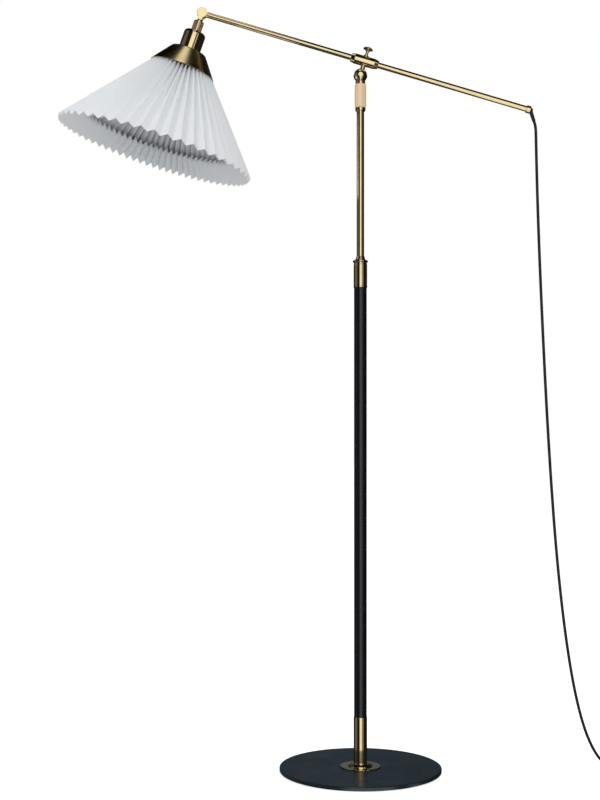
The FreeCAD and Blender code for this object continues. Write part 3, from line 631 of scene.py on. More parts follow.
@dataclass(frozen=True)
class Foil(Finish):
    """White shade foil with the calendered weave of its linen face."""

    yarn: float = 2600.0
    weave_depth: float = 12e-6

    def settings(self) -> dict[str, object]:
        """A pale sheet with a faint sheen and a low specular level."""
        return {
            "Sheen_Weight": 0.12,
            "Sheen_Roughness": 0.4,
            "Specular_IOR_Level": 0.35,
        }

    def detail(self, graph: Graph, shader: bpy.types.Node) -> None:
        """Fine crossed yarns in the sheet's own UV map, cloudy thickness and dull gloss."""
        sheet = graph.add("UVMap", uv_map="sheet").outputs[0]
        apart = graph.add("SeparateXYZ")
        graph.join(sheet, apart.inputs[0])
        warp, weft = (
            graph.maths("SINE", graph.maths("MULTIPLY", apart.outputs[k], self.yarn * 2))
            for k in (0, 1)
        )
        weave = graph.maths("MULTIPLY", warp, weft)
        place = graph.object_place()
        clouds = use_group(graph, blotches(), place, Scale=22.0)
        self.vary_tone(graph, shader, clouds, (0.0, self.tinted(0.975)), (1.0, self.colour))
        self.vary_gloss(graph, shader, place, 60.0, 0.12)
        bump(graph, shader, weave, self.weave_depth)


@dataclass(frozen=True)
class Sheath(Finish):
    """The cord's smooth rubbery sheath, with rubbed patches and scuffs."""

    scuff_depth: float = 18e-6

    def settings(self) -> dict[str, object]:
        """Dark soft plastic."""
        return {"Base_Color": (*self.colour, 1.0), "IOR": 1.5}

    def detail(self, graph: Graph, shader: bpy.types.Node) -> None:
        """Rubbed patches and fine scuffs."""
        place = graph.object_place()
        self.vary_gloss(graph, shader, place, 80.0, 0.2)
        rubbed = use_group(graph, blotches(), place, Scale=140.0)
        self.vary_tone(graph, shader, rubbed, (0.0, self.colour), (1.0, self.tinted(1.6)))
        bump(graph, shader, use_group(graph, grit(), place, Scale=1500.0), self.scuff_depth)


BRASS_TONE: Colour = (0.86, 0.70, 0.37)
POLISHED = Brass("brass_upright", Slot.POLISHED, BRASS_TONE, 0.08)
POLISHED_ARM = Brass(
    "brass_arm", Slot.POLISHED, BRASS_TONE, 0.08, axis=Axis.arm(), line_length=0.02
)
POLISHED_HEAD = Brass(
    "brass_head", Slot.POLISHED, BRASS_TONE, 0.08, axis=Axis.head(), line_length=8.0
)
SATIN = Brass(
    "brass_satin", Slot.SATIN, (0.84, 0.67, 0.34), 0.27, axis=Axis.head(), line_depth=0.03e-6
)
LACQUER = Lacquer("lacquer_black", Slot.LACQUER, (0.0035, 0.004, 0.006), 0.24)
# The foot's slate-blue colour is a painted sheen: it stands in for the bluish reflection on
# the plate's top.
LACQUER_FOOT_PAINTED_SHEEN = Lacquer("lacquer_foot_painted_blue_sheen", Slot.LACQUER, (0.008, 0.019, 0.028), 0.36, sheen=0.2)
FELT = Felt("felt_black", Slot.FELT, (0.018, 0.018, 0.02), 0.95)
STEEL = Steel("steel_plated", Slot.STEEL, (0.62, 0.63, 0.64), 0.28)
NYLON = Moulded("nylon_black", Slot.NYLON, (0.02, 0.02, 0.021), 0.5)
BLACK_PLASTIC = Moulded("plastic_black", Slot.BLACK_PLASTIC, (0.014, 0.014, 0.015), 0.42)
HOLDER = Moulded("plastic_holder", Slot.HOLDER, (0.03, 0.028, 0.026), 0.36, grain_depth=8e-6)
MAPLE = Maple("maple_oiled", Slot.MAPLE, (0.88, 0.64, 0.38), 0.38)
FOIL = Foil("foil_white", Slot.FOIL, (0.86, 0.88, 0.90), 0.48)
SHEATH = Sheath("sheath_black", Slot.SHEATH, (0.010, 0.010, 0.011), 0.40)


# ---- mesh helpers -------------------------------------------------------------------------
def head_frame() -> Matrix:
    """From the head's own frame, with its axis along Z, to the lamp's."""
    return Matrix.Translation(TIP) @ Matrix.Rotation(HEAD_LEAN, 4, "Y")


def block(
    mesh: bmesh.types.BMesh, size: Point, middle: Point
) -> list[bmesh.types.BMVert]:
    """Adds a box to a mesh.

    Args:
        mesh: What it is added to.
        size: Its length, width and height.
        middle: Its middle.

    Returns:
        Its corners.
    """
    corners = bmesh.ops.create_cube(mesh, size=1.0)["verts"]
    bmesh.ops.scale(mesh, vec=size, verts=corners)
    bmesh.ops.translate(mesh, vec=middle, verts=corners)
    return corners


def ease_edges(
    mesh: bmesh.types.BMesh, edges: list[bmesh.types.BMEdge], offset: float, segments: int
) -> None:
    """Rounds edges over.

    Args:
        mesh: The mesh they are in.
        edges: The edges.
        offset: How far from the edge the rounding starts.
        segments: Number of faces across it.
    """
    bmesh.ops.bevel(
        mesh,
        geom=edges,
        offset=offset,
        segments=segments,
        profile=0.5,
        affect="EDGES",
        material=-1,
    )


def lathe(outline: Sequence[tuple[float, float]], steps: int) -> bmesh.types.BMesh:
    """A closed turned shape about Z.

    Args:
        outline: Radius and height of each corner, in order.
        steps: Facets round the axis.

    Returns:
        The mesh, with its faces outwards.
    """
    mesh = bmesh.new()
    corners = [mesh.verts.new((r, 0, z)) for r, z in outline]
    edges = [
        mesh.edges.new(pair) for pair in zip(corners, corners[1:] + corners[:1])
    ]
    bmesh.ops.spin(
        mesh,
        geom=[*corners, *edges],
        cent=(0, 0, 0),
        axis=(0, 0, 1),
        angle=math.tau,
        steps=steps,
        use_merge=True,
    )
    bmesh.ops.remove_doubles(mesh, verts=mesh.verts, dist=1e-7)
    bmesh.ops.recalc_face_normals(mesh, faces=mesh.faces)
    return mesh


def finished(
    name: str,
    mesh: bmesh.types.BMesh,
    finish: Finish,
    place: Matrix = Matrix.Identity(4),
    sharp: float = 32.0,
) -> bpy.types.Object:
    """Turns a bmesh into an object at the origin with its place in its mesh.

    Args:
        name: The piece's name.
        mesh: Its shape, which is freed.
        finish: Its finish.
        place: Where the shape goes.
        sharp: Degrees past which an edge shows as sharp.

    Returns:
        The object.
    """
    bmesh.ops.transform(mesh, matrix=place, verts=mesh.verts)
    for face in mesh.faces:
        face.smooth = True
    data = bpy.data.meshes.new(name)
    mesh.to_mesh(data)
    mesh.free()
    data.set_sharp_from_angle(angle=math.radians(sharp))
    data.materials.append(finish.material())
    made = bpy.data.objects.new(name, data)
    bpy.context.scene.collection.objects.link(made)
    return made


def report(piece: bpy.types.Object) -> None:
    """Logs a piece's name and size."""
    size = ", ".join(f"{d * 1000:.0f}" for d in piece.dimensions)
    log.info("%s: %s mm", piece.name, size)


# ---- camera -------------------------------------------------------------------------------
@dataclass(frozen=True)
class PhotoCamera:
    """The photograph's viewpoint: level, at mid height, with the frame shifted up."""

    place: Point = (-0.1045, -2.384, 0.590)
    lens_mm: float = 62.0
    sensor_mm: float = 36.0
    shift_up: float = 0.0375

    def make(self) -> bpy.types.Object:
        """Makes the camera and sets it as the scene's.

        Returns:
            The camera.
        """
        data = bpy.data.cameras.new("photo_camera")
        data.lens = self.lens_mm
        data.sensor_width = self.sensor_mm
        data.shift_y = self.shift_up
        data.clip_end = 60.0
        camera = bpy.data.objects.new("photo_camera", data)
        camera.location = self.place
        camera.rotation_euler = (math.radians(90), 0, 0)
        bpy.context.scene.collection.objects.link(camera)
        bpy.context.scene.camera = camera
        log.info("camera at %s", self.place)
        return camera


# ---- cord ---------------------------------------------------------------------------------
LEAD_ROUTE_MM = (
    (302.4, 0, 1117.8),
    (303.4, 0, 1110.2),
    (303.8, 0, 1098),
    (304.2, 0, 1075),
    (305.3, 0, 1030),
    (307.0, 0, 970),
    (309.5, 0, 900),
    (312.4, 0, 830),
    (315.6, 0, 760),
    (319.0, 0, 690),
    (322.7, 0, 620),
    (326.8, 0, 550),
    (331.4, 0, 480),
    (336.6, 0, 410),
    (341.9, 0, 350),
    (348.4, 0, 288),
    (356.2, 0, 226),
    (365.7, 0, 165),
    (376.0, 0, 115),
    (387.0, 0, 75),
    (399.0, 0, 45),
    (412.6, 0, 22),
    (428.5, -0.4, 8),
    (447.0, -1.2, 2.7),
    (465.0, -1.4, 2.9),
)
TAIL_ROUTE_MM = (
    (519.2, 55, 8.3),
    (520.2, 73, 6.85),
    (520.2, 92, 6.85),
)


@dataclass
class SupplyCord:
    """The supply cord, from the relief down to the floor, its coil, tie and plug."""

    diameter: float = 5.0 * MM
    length: float = 2.4
    start_inside: float = 3.3 * MM
    bend_length: float = 80 * MM
    coil_middle: tuple[float, float] = (482 * MM, 37 * MM)
    outer: float = 37.0 * MM
    inner: float = 21.4 * MM
    low: float = 3.3 * MM
    high: float = 8.5 * MM
    points_a_turn: int = 16
    turns_in: float = 3.0
    turns_up: float = 0.5
    turns_out: float = 2.75
    tie_angle: float = math.radians(150)
    tie_width: float = 7 * MM
    tie_thick: float = 0.7 * MM
    plug_place: Point = (0.5202, 0.090, 0.00685)
    seed: int = 7

    def coil_points(self) -> list[Vector]:
        """Control points of the coil's turns: in along the floor, up, and out again on top.

        Returns:
            The points, from the first after the hanging part to the last on the coil.
        """
        chance = random.Random(self.seed)
        total = self.turns_in + self.turns_up + self.turns_out
        swell = 1 / math.cos(math.pi / self.points_a_turn)
        points = []
        for n in range(int(total * self.points_a_turn) + 1):
            turn = n / self.points_a_turn
            inwards = min(turn / self.turns_in, 1.0)
            climb = min(max((turn - self.turns_in) / self.turns_up, 0.0), 1.0)
            outwards = max(turn - self.turns_in - self.turns_up, 0.0) / self.turns_out
            radius = self.outer + (self.inner - self.outer) * (inwards - outwards)
            radius = radius * swell + chance.uniform(-0.12, 0.12) * MM
            height = self.low + (self.high - self.low) * climb
            angle = math.radians(-90) + math.tau * turn
            x, y = self.coil_middle
            points.append(
                Vector((x + radius * math.cos(angle), y + radius * math.sin(angle), height))
            )
        return points

    def control_points(self) -> list[Vector]:
        """All control points of the cord, from inside its relief to inside its plug."""
        lead = [Vector(p) * MM for p in LEAD_ROUTE_MM]
        tail = [Vector(p) * MM for p in TAIL_ROUTE_MM]
        start = CORD_PIVOT - RELIEF_DOWN * self.start_inside
        return [start, CORD_PIVOT.copy(), *lead, *self.coil_points(), *tail]

    def route(self, bevel: float) -> bpy.types.Object:
        """The cord's NURBS curve.

        Args:
            bevel: Radius of the round section, or 0 for the bare line.

        Returns:
            The curve's object.
        """
        curve = bpy.data.curves.new("cord_route", "CURVE")
        curve.dimensions = "3D"
        curve.resolution_u = 6
        curve.bevel_depth = bevel
        curve.bevel_resolution = 3
        curve.use_fill_caps = bevel > 0
        spline = curve.splines.new("NURBS")
        points = self.control_points()
        spline.points.add(len(points) - 1)
        for point, place in zip(spline.points, points):
            point.co = (*place, 1.0)
        spline.order_u = 3
        spline.use_endpoint_u = True
        made = bpy.data.objects.new("cord_route", curve)
        bpy.context.scene.collection.objects.link(made)
        return made

    def line(self) -> list[Vector]:
        """Points along the bare NURBS line."""
        route = self.route(0.0)
        bpy.context.view_layer.update()
        mesh = bpy.data.meshes.new_from_object(route)
        points = [v.co.copy() for v in mesh.vertices]
        bpy.data.objects.remove(route)
        bpy.data.meshes.remove(mesh)
        return points

    def tube(self) -> bpy.types.Object:
        """The cord's round sheath as a closed mesh along the line."""
        route = self.route(self.diameter / 2)
        bpy.context.view_layer.update()
        mesh = bpy.data.meshes.new_from_object(route)
        bpy.data.objects.remove(route)
        shape = bmesh.new()
        shape.from_mesh(mesh)
        bpy.data.meshes.remove(mesh)
        bmesh.ops.remove_doubles(shape, verts=shape.verts, dist=1e-7)
        bmesh.ops.recalc_face_normals(shape, faces=shape.faces)
        return finished("cord_sheath", shape, SHEATH, sharp=60)

    def tie(self) -> bpy.types.Object:
        """The strap round the turns, with its small buckle."""
        reach_in = math.sqrt((self.inner - 2.7 * MM) ** 2 - (self.tie_width / 2) ** 2)
        low_x, high_x = reach_in - 0.5 * MM, self.outer + 3.5 * MM
        low_z, high_z = self.low - 3.1 * MM, self.high + 3.3 * MM
        middle_x = (low_x + high_x) / 2
        mesh = bmesh.new()
        block(
            mesh,
            (high_x - low_x, self.tie_width, high_z - low_z),
            (middle_x, 0, (low_z + high_z) / 2),
        )
        ends = [f for f in mesh.faces if abs(f.normal.y) > 0.9]
        bmesh.ops.delete(mesh, geom=ends, context="FACES_ONLY")
        corners = [e for e in mesh.edges if abs((e.verts[0].co - e.verts[1].co).y) > 1e-4]
        ease_edges(mesh, corners, 2.2 * MM, 4)
        bmesh.ops.recalc_face_normals(mesh, faces=mesh.faces)
        bmesh.ops.solidify(mesh, geom=mesh.faces[:], thickness=self.tie_thick)
        buckle = block(
            mesh,
            (6 * MM, self.tie_width + 2 * MM, 2.4 * MM),
            (middle_x, 0, high_z - 0.4 * MM),
        )
        around = list({e for v in buckle for e in v.link_edges})
        ease_edges(mesh, around, 0.5 * MM, 2)
        bmesh.ops.recalc_face_normals(mesh, faces=mesh.faces)
        x, y = self.coil_middle
        place = Matrix.Translation((x, y, 0)) @ Matrix.Rotation(self.tie_angle, 4, "Z")
        return finished("tie_strap", mesh, BLACK_PLASTIC, place)

    def plug(self) -> bpy.types.Object:
        """The flat plug: a body with finger grips and a ribbed, tapered relief."""
        body_start, body_long, wide, thick = 14 * MM, 35 * MM, 26 * MM, 13.7 * MM
        mesh = bmesh.new()
        block(mesh, (body_long, wide, thick), (body_start + body_long / 2, 0, 0))
        back = [v for v in mesh.verts if v.co.x < body_start + 1 * MM]
        bmesh.ops.scale(mesh, vec=(1, 0.72, 0.9), verts=back)
        ease_edges(mesh, mesh.edges[:], 3.2 * MM, 4)
        grips = [f for f in mesh.faces if abs(f.normal.z) > 0.98 and f.calc_area() > 1e-4]
        bmesh.ops.inset_region(mesh, faces=grips, thickness=2.5 * MM, depth=0)
        bmesh.ops.inset_region(mesh, faces=grips, thickness=0.8 * MM, depth=-0.6 * MM)
        rib_count, rib_groove = 6, 0.7 * MM
        outline = [(0.0, 0.0), (3.0 * MM, 0.0)]
        for n in range(rib_count):
            start = (0.4 + n * 2.4) * MM
            rib = (3.3 + 0.27 * n) * MM
            outline += [
                (rib, start),
                (rib, start + 1.4 * MM),
                (rib - rib_groove, start + 1.6 * MM),
                (rib - rib_groove, start + 2.2 * MM),
            ]
        outline += [(5.0 * MM, 15.2 * MM), (0.0, 16 * MM)]
        relief = lathe(outline, 28)
        lying = Matrix.Rotation(math.radians(90), 3, "Y")
        bmesh.ops.rotate(relief, cent=(0, 0, 0), matrix=lying, verts=relief.verts)
        part = bpy.data.meshes.new("relief")
        relief.to_mesh(part)
        relief.free()
        mesh.from_mesh(part)
        bpy.data.meshes.remove(part)
        place = Matrix.Translation(self.plug_place) @ Matrix.Rotation(math.radians(90), 4, "Z")
        return finished("plug_body", mesh, BLACK_PLASTIC, place, sharp=40)

    def make(self) -> None:
        line = self.line()
        length = sum((b - a).length for a, b in zip(line, line[1:]))
        log.info("cord: %.3f m along its line", length)
        cord = self.tube()
        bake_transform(cord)
        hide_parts("cord_lead", "cord_coil", "cord_tail")
        tie, plug = self.tie(), self.plug()
        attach(tie, Carrier.CORD.value)
        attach(plug, Carrier.CORD.value)
        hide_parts("cord_tie")
        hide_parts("plug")
        for piece in (cord, tie, plug):
            report(piece)


# ---- shade --------------------------------------------------------------------------------
@dataclass
class PleatedShade:
    """The pleated shade: one folded sheet, gathered under the cap, with its hem turned in.

    Depths are measured down the head's axis from the tip hinge. A pleat's two panels have
    the same width from top to bottom, so the folds are deep where the shade is narrow. The
    soft sheet hangs a little lower on its outer side.
    """

    pleats: int = 58
    panel: float = 12.8 * MM
    near_pitch: float = 7.45
    far_squeeze: float = 3.15
    first_ridge: float = -1.2
    top: tuple[float, float] = (49.8 * MM, 97.5 * MM)
    rim: tuple[float, float] = (55.2 * MM, 104.0 * MM)
    notch: tuple[float, float] = (173.2 * MM, 246.6 * MM)
    tip_overhang: float = 4.0 * MM
    hem_edge: tuple[float, float] = (128.0 * MM, 224.0 * MM)
    hem_fold: float = 5.6 * MM
    skew: float = 5.8 * MM
    thickness: float = 0.45 * MM
    rounding: float = 0.2 * MM
    least_fold: float = 2 * MM
    gather_mm: tuple[float, float] = (1.8, 2.1)
    flare: float = 0.6 * MM
    stray_mm: float = 0.35
    stray_degrees: float = 0.35
    unroll_radius: float = 0.12
    seed: int = 11
    wall_stations: tuple[float, ...] = (
        0.0, 0.05, 0.12, 0.22, 0.34, 0.46, 0.58, 0.70, 0.82, 0.91, 0.97, 1.0,
    )
    hem_stations: tuple[float, ...] = (0.035, 0.15, 0.35, 0.6, 0.82, 1.0)
    across: tuple[float, ...] = (0.0, 0.06, 0.30, 0.70, 0.94, 1.0, 0.94, 0.70, 0.30, 0.06)

    def ridge_angles(self) -> list[float]:
        """Angles of the ridges from the near side towards +X, closer together at the back.

        Returns:
            One angle in radians for each pleat, and the first again after a full turn.
        """
        angles = [self.first_ridge]
        for _ in range(self.pleats):
            share = (1 - math.cos(math.radians(angles[-1]))) / 2
            angles.append(angles[-1] + self.near_pitch - self.far_squeeze * share**3)
        stretch = 360 / (angles[-1] - angles[0])
        return [
            math.radians(self.first_ridge + (a - self.first_ridge) * stretch) for a in angles
        ]

    def ridge_line(self) -> list[tuple[Vector, Vector]]:
        """Radius and depth of each ring on a ridge, and the sheet's inward direction there."""
        rim, notch = Vector(self.rim), Vector(self.notch)
        slope = (notch - rim).normalized()
        inward = Vector((-slope.y, slope.x))
        rings = [(Vector(self.top), inward)]
        rings += [(rim.lerp(notch, t), inward) for t in self.wall_stations]
        return rings

    def hem_line(self) -> list[tuple[float, Vector, Vector]]:
        """Share, middle and downward direction of each ring of the hem."""
        edge = Vector(self.hem_edge)
        notch = Vector(self.notch)
        slope = (edge - notch).normalized()
        down = Vector((slope.y, -slope.x))
        return [(u, notch.lerp(edge, u), down) for u in self.hem_stations]

    def ring_points(self, ring: int, pitch: float) -> tuple[Vector, Vector]:
        """Where a ring lies on a ridge and on the fold next to it.

        Args:
            ring: The ring's number from the top.
            pitch: Angle between this ridge and the next.

        Returns:
            Radius and depth on the ridge and on the fold.
        """
        walls = self.ridge_line()
        tip_ridge, inward = walls[-1]
        if ring < len(walls):
            ridge = walls[ring][0]
            half = ridge.x * pitch / 2
            depth = math.sqrt(max(self.panel**2 - half**2, self.least_fold**2))
            fold = ridge + inward * depth
            if ring == 0:
                fold = fold - Vector(self.gather_mm) * MM
            slope = Vector((inward.y, -inward.x))
            late = max((ring - len(walls) + 4) / 3, 0.0)
            return ridge, fold + slope * self.tip_overhang * late
        share, middle, down = self.hem_line()[ring - len(walls)]
        ridge_end, fold_end = self.ring_points(len(walls) - 1, pitch)
        edge = Vector(self.hem_edge)
        up_end, down_end = edge - down * self.hem_fold, edge + down * self.hem_fold
        return ridge_end.lerp(up_end, share), fold_end.lerp(down_end, share)

    def sheet(self) -> bmesh.types.BMesh:
        """The folded sheet, spun as a plain tube and then laid in its pleats.

        Returns:
            The mesh, open at its top and at the hem's inner edge, with a UV map.
        """
        rings = 1 + len(self.wall_stations) + len(self.hem_stations)
        columns = len(self.across)
        mesh = bmesh.new()
        wire = [mesh.verts.new((1, 0, -k)) for k in range(rings)]
        edges = [mesh.edges.new(pair) for pair in zip(wire, wire[1:])]
        bmesh.ops.spin(
            mesh,
            geom=[*wire, *edges],
            cent=(0, 0, 0),
            axis=(0, 0, 1),
            angle=math.tau,
            steps=self.pleats * columns,
            use_merge=True,
        )
        angles = self.ridge_angles()
        chance = random.Random(self.seed)
        far, turned = self.stray_mm, self.stray_degrees
        lift = [chance.uniform(-far, far) * MM for _ in range(self.pleats)]
        sway = [chance.uniform(-turned, turned) for _ in range(self.pleats + 1)]
        places = self.columns(angles, lift, sway, rings)
        for vertex in mesh.verts:
            share = math.atan2(vertex.co.y, vertex.co.x) / math.tau % 1.0
            column = round(share * self.pleats * columns) % (self.pleats * columns)
            vertex.co = places[column][round(-vertex.co.z)]
        bmesh.ops.recalc_face_normals(mesh, faces=mesh.faces)
        self.unroll(mesh)
        return mesh

    def columns(
        self, angles: list[float], lift: list[float], sway: list[float], rings: int
    ) -> list[list[Vector]]:
        """Where every column of the sheet lies.

        Args:
            angles: The ridges' angles, and the first again.
            lift: How far each pleat stands in or out.
            sway: How far each ridge strays sideways on its way down, in degrees.
            rings: Number of rings.

        Returns:
            For each column round the shade, its point on each ring in the head's frame.
        """

        def at(place: Vector, angle: float) -> Vector:
            """A point of the head's frame at an angle from its near side."""
            low = min((place.y - self.rim[1]) / (self.notch[1] - self.rim[1]), 1.0)
            out = -math.sin(angle) * max(low, 0.0)
            radius = place.x - self.flare * out
            down = -place.y - self.skew * out
            return Vector((radius * math.sin(angle), -radius * math.cos(angle), down))

        places = []
        wall_rings = 1 + len(self.wall_stations)
        for n in range(self.pleats):
            pitch = angles[n + 1] - angles[n]
            for k, share in enumerate(self.across):
                ahead = k > len(self.across) // 2
                column = []
                for ring in range(rings):
                    ridge, fold = self.ring_points(ring, pitch)
                    wave = math.sin(math.pi * min(ring / (wall_rings - 1), 1.0))
                    here = angles[n] + math.radians(sway[n]) * wave
                    there = angles[n + 1] + math.radians(sway[(n + 1) % self.pleats]) * wave
                    middle = (here + there) / 2
                    inward = (fold - ridge).normalized()
                    ridge = ridge + inward * (lift[n] * wave)
                    near = at(ridge + inward * self.rounding, there if ahead else here)
                    far = at(fold - inward * self.rounding, middle)
                    column.append(near.lerp(far, share))
                places.append(column)
        return places

    def unroll(self, mesh: bmesh.types.BMesh) -> None:
        """Gives the sheet a UV map in metres along and across its flat cut."""
        layer = mesh.loops.layers.uv.new("sheet")
        for face in mesh.faces:
            for loop in face.loops:
                place = loop.vert.co
                angle = math.atan2(place.x, -place.y)
                loop[layer].uv = (angle * self.unroll_radius, place.z + place.xy.length)

    def make(self) -> None:
        mesh = self.sheet()
        area = sum(f.calc_area() for f in mesh.faces)
        shade = finished("pleated_shade", mesh, FOIL, head_frame(), sharp=50)
        wall = shade.modifiers.new("thickness", "SOLIDIFY")
        wall.thickness = self.thickness
        wall.offset = -1.0
        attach(shade, Carrier.HEAD.value)
        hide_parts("shade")
        report(shade)


# ---- grip ---------------------------------------------------------------------------------
@dataclass
class WoodGrip:
    """The maple grip on the inner tube, faintly crowned, with eased ends."""

    foot: float = 1147.2 * MM
    tall: float = 41.0 * MM
    radius: float = 10.0 * MM
    bore: float = 6.55 * MM
    crown: float = 0.25 * MM
    ease: float = 1.2 * MM

    def make(self) -> None:
        """Builds the grip."""
        edge = self.radius - self.crown
        turns = [math.radians(90 * n / 4) for n in range(5)]
        corner = [
            (edge - self.ease * (1 - math.sin(a)), self.ease * (1 - math.cos(a)))
            for a in turns
        ]
        outline = [(self.bore, 0.0), *corner]
        for n in range(1, 8):
            share = n / 8
            outline.append(
                (
                    self.radius - self.crown * (2 * share - 1) ** 2,
                    self.ease + (self.tall - 2 * self.ease) * share,
                )
            )
        outline += [(radius, self.tall - height) for radius, height in reversed(corner)]
        outline.append((self.bore, self.tall))
        mesh = lathe(outline, 72)
        grip = finished("maple_grip", mesh, MAPLE, Matrix.Translation((0, 0, self.foot)))
        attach(grip, Carrier.MAST.value)
        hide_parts("wood_grip")
        report(grip)


# ---- tubes --------------------------------------------------------------------------------
@dataclass(frozen=True)
class DrawnTube:
    """A long drawn tube, in short rings so that its reflections stay even.

    The start and end are measured along the tube from the origin of its place.
    """

    name: str
    node: str
    carrier: Carrier
    finish: Finish
    radius: float
    bore: float
    start: float
    end: float
    place: Matrix
    ring: float = 12 * MM

    def make(self) -> None:
        """Builds the tube."""
        count = math.ceil((self.end - self.start) / self.ring)
        stations = [self.start + (self.end - self.start) * n / count for n in range(count + 1)]
        outline = [(self.radius, z) for z in stations]
        outline += [(self.bore, z) for z in reversed(stations)]
        tube = finished(self.name, lathe(outline, 72), self.finish, self.place)
        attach(tube, self.carrier.value)
        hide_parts(self.node)
        report(tube)


def drawn_tubes() -> tuple[DrawnTube, ...]:
    """The two mast tubes and the arm's."""
    upright = Matrix.Identity(4)
    along_arm = Matrix.Translation(ARM_MIDDLE) @ Matrix.Rotation(
        math.radians(90) + ARM_SLOPE, 4, "Y"
    )
    return (
        DrawnTube(
            "black_tube", "outer_tube", Carrier.BASE, LACQUER,
            11 * MM, 9.5 * MM, 8 * MM, 858 * MM, upright,
        ),
        DrawnTube(
            "brass_tube", "inner_tube", Carrier.MAST, POLISHED,
            6.5 * MM, 5.5 * MM, 590 * MM, 1188.2 * MM, upright,
        ),
        DrawnTube(
            "brass_arm_tube", "arm_tube", Carrier.ARM, POLISHED_ARM,
            5 * MM, 4 * MM, -282 * MM, 297.5 * MM, along_arm,
        ),
    )


# ---- CAD nodes ----------------------------------------------------------------------------
@dataclass(frozen=True)
class NodeFinishes:
    """Which finish each CAD node gets, also where a new piece stands for it."""

    groups: tuple[tuple[Finish, tuple[str, ...]], ...] = (
        (LACQUER, ("outer_tube",)),
        # The foot plate's colour holds a painted blue sheen.
        (LACQUER_FOOT_PAINTED_SHEEN, ("base_plate",)),
        (FELT, ("base_pad",)),
        (
            POLISHED,
            (
                "foot_flange", "foot_hub", "lower_sleeve", "upper_sleeve", "clamp_ring",
                "collet_cap", "inner_tube", "grip_ring", "knuckle_ball", "knuckle_pivot",
                "plug_pins",
            ),
        ),
        (
            POLISHED_ARM,
            (
                "knuckle_stem", "slider", "slider_end_ring", "thumb_screw", "arm_tube",
                "arm_end_cap", "arm_tongue",
            ),
        ),
        (
            POLISHED_HEAD,
            (
                "head_fork", "hinge_screw", "switch_ring", "holder_cover", "thread_shell",
                "centre_contact",
            ),
        ),
        (SATIN, ("shade_cap",)),
        (
            STEEL,
            (
                "foot_bolt", "foot_plug", "foot_washer", "stop_ring", "nipple_nut",
                "shade_carrier", "shade_wire",
            ),
        ),
        (NYLON, ("mouth_bush", "collet", "guide_bush", "mast_plug", "arm_liner")),
        (BLACK_PLASTIC, ("cord_gland", "cord_tie", "plug")),
        (HOLDER, ("lampholder", "shade_nut")),
        (MAPLE, ("wood_grip",)),
        (FOIL, ("shade",)),
        (SHEATH, ("cord_lead", "cord_coil", "cord_tail", "inner_lead")),
    )

    def dress(self) -> None:
        """Puts the finishes on the nodes, and stops if one is left out."""
        left = set(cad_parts)
        for finish, names in self.groups:
            for name in names:
                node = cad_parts[name]
                node.data.materials.clear()
                node.data.materials.append(finish.material())
                left.discard(name)
        if left:
            raise ValueError(f"no finish for {sorted(left)}")
        log.info("finishes on %d nodes", len(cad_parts))


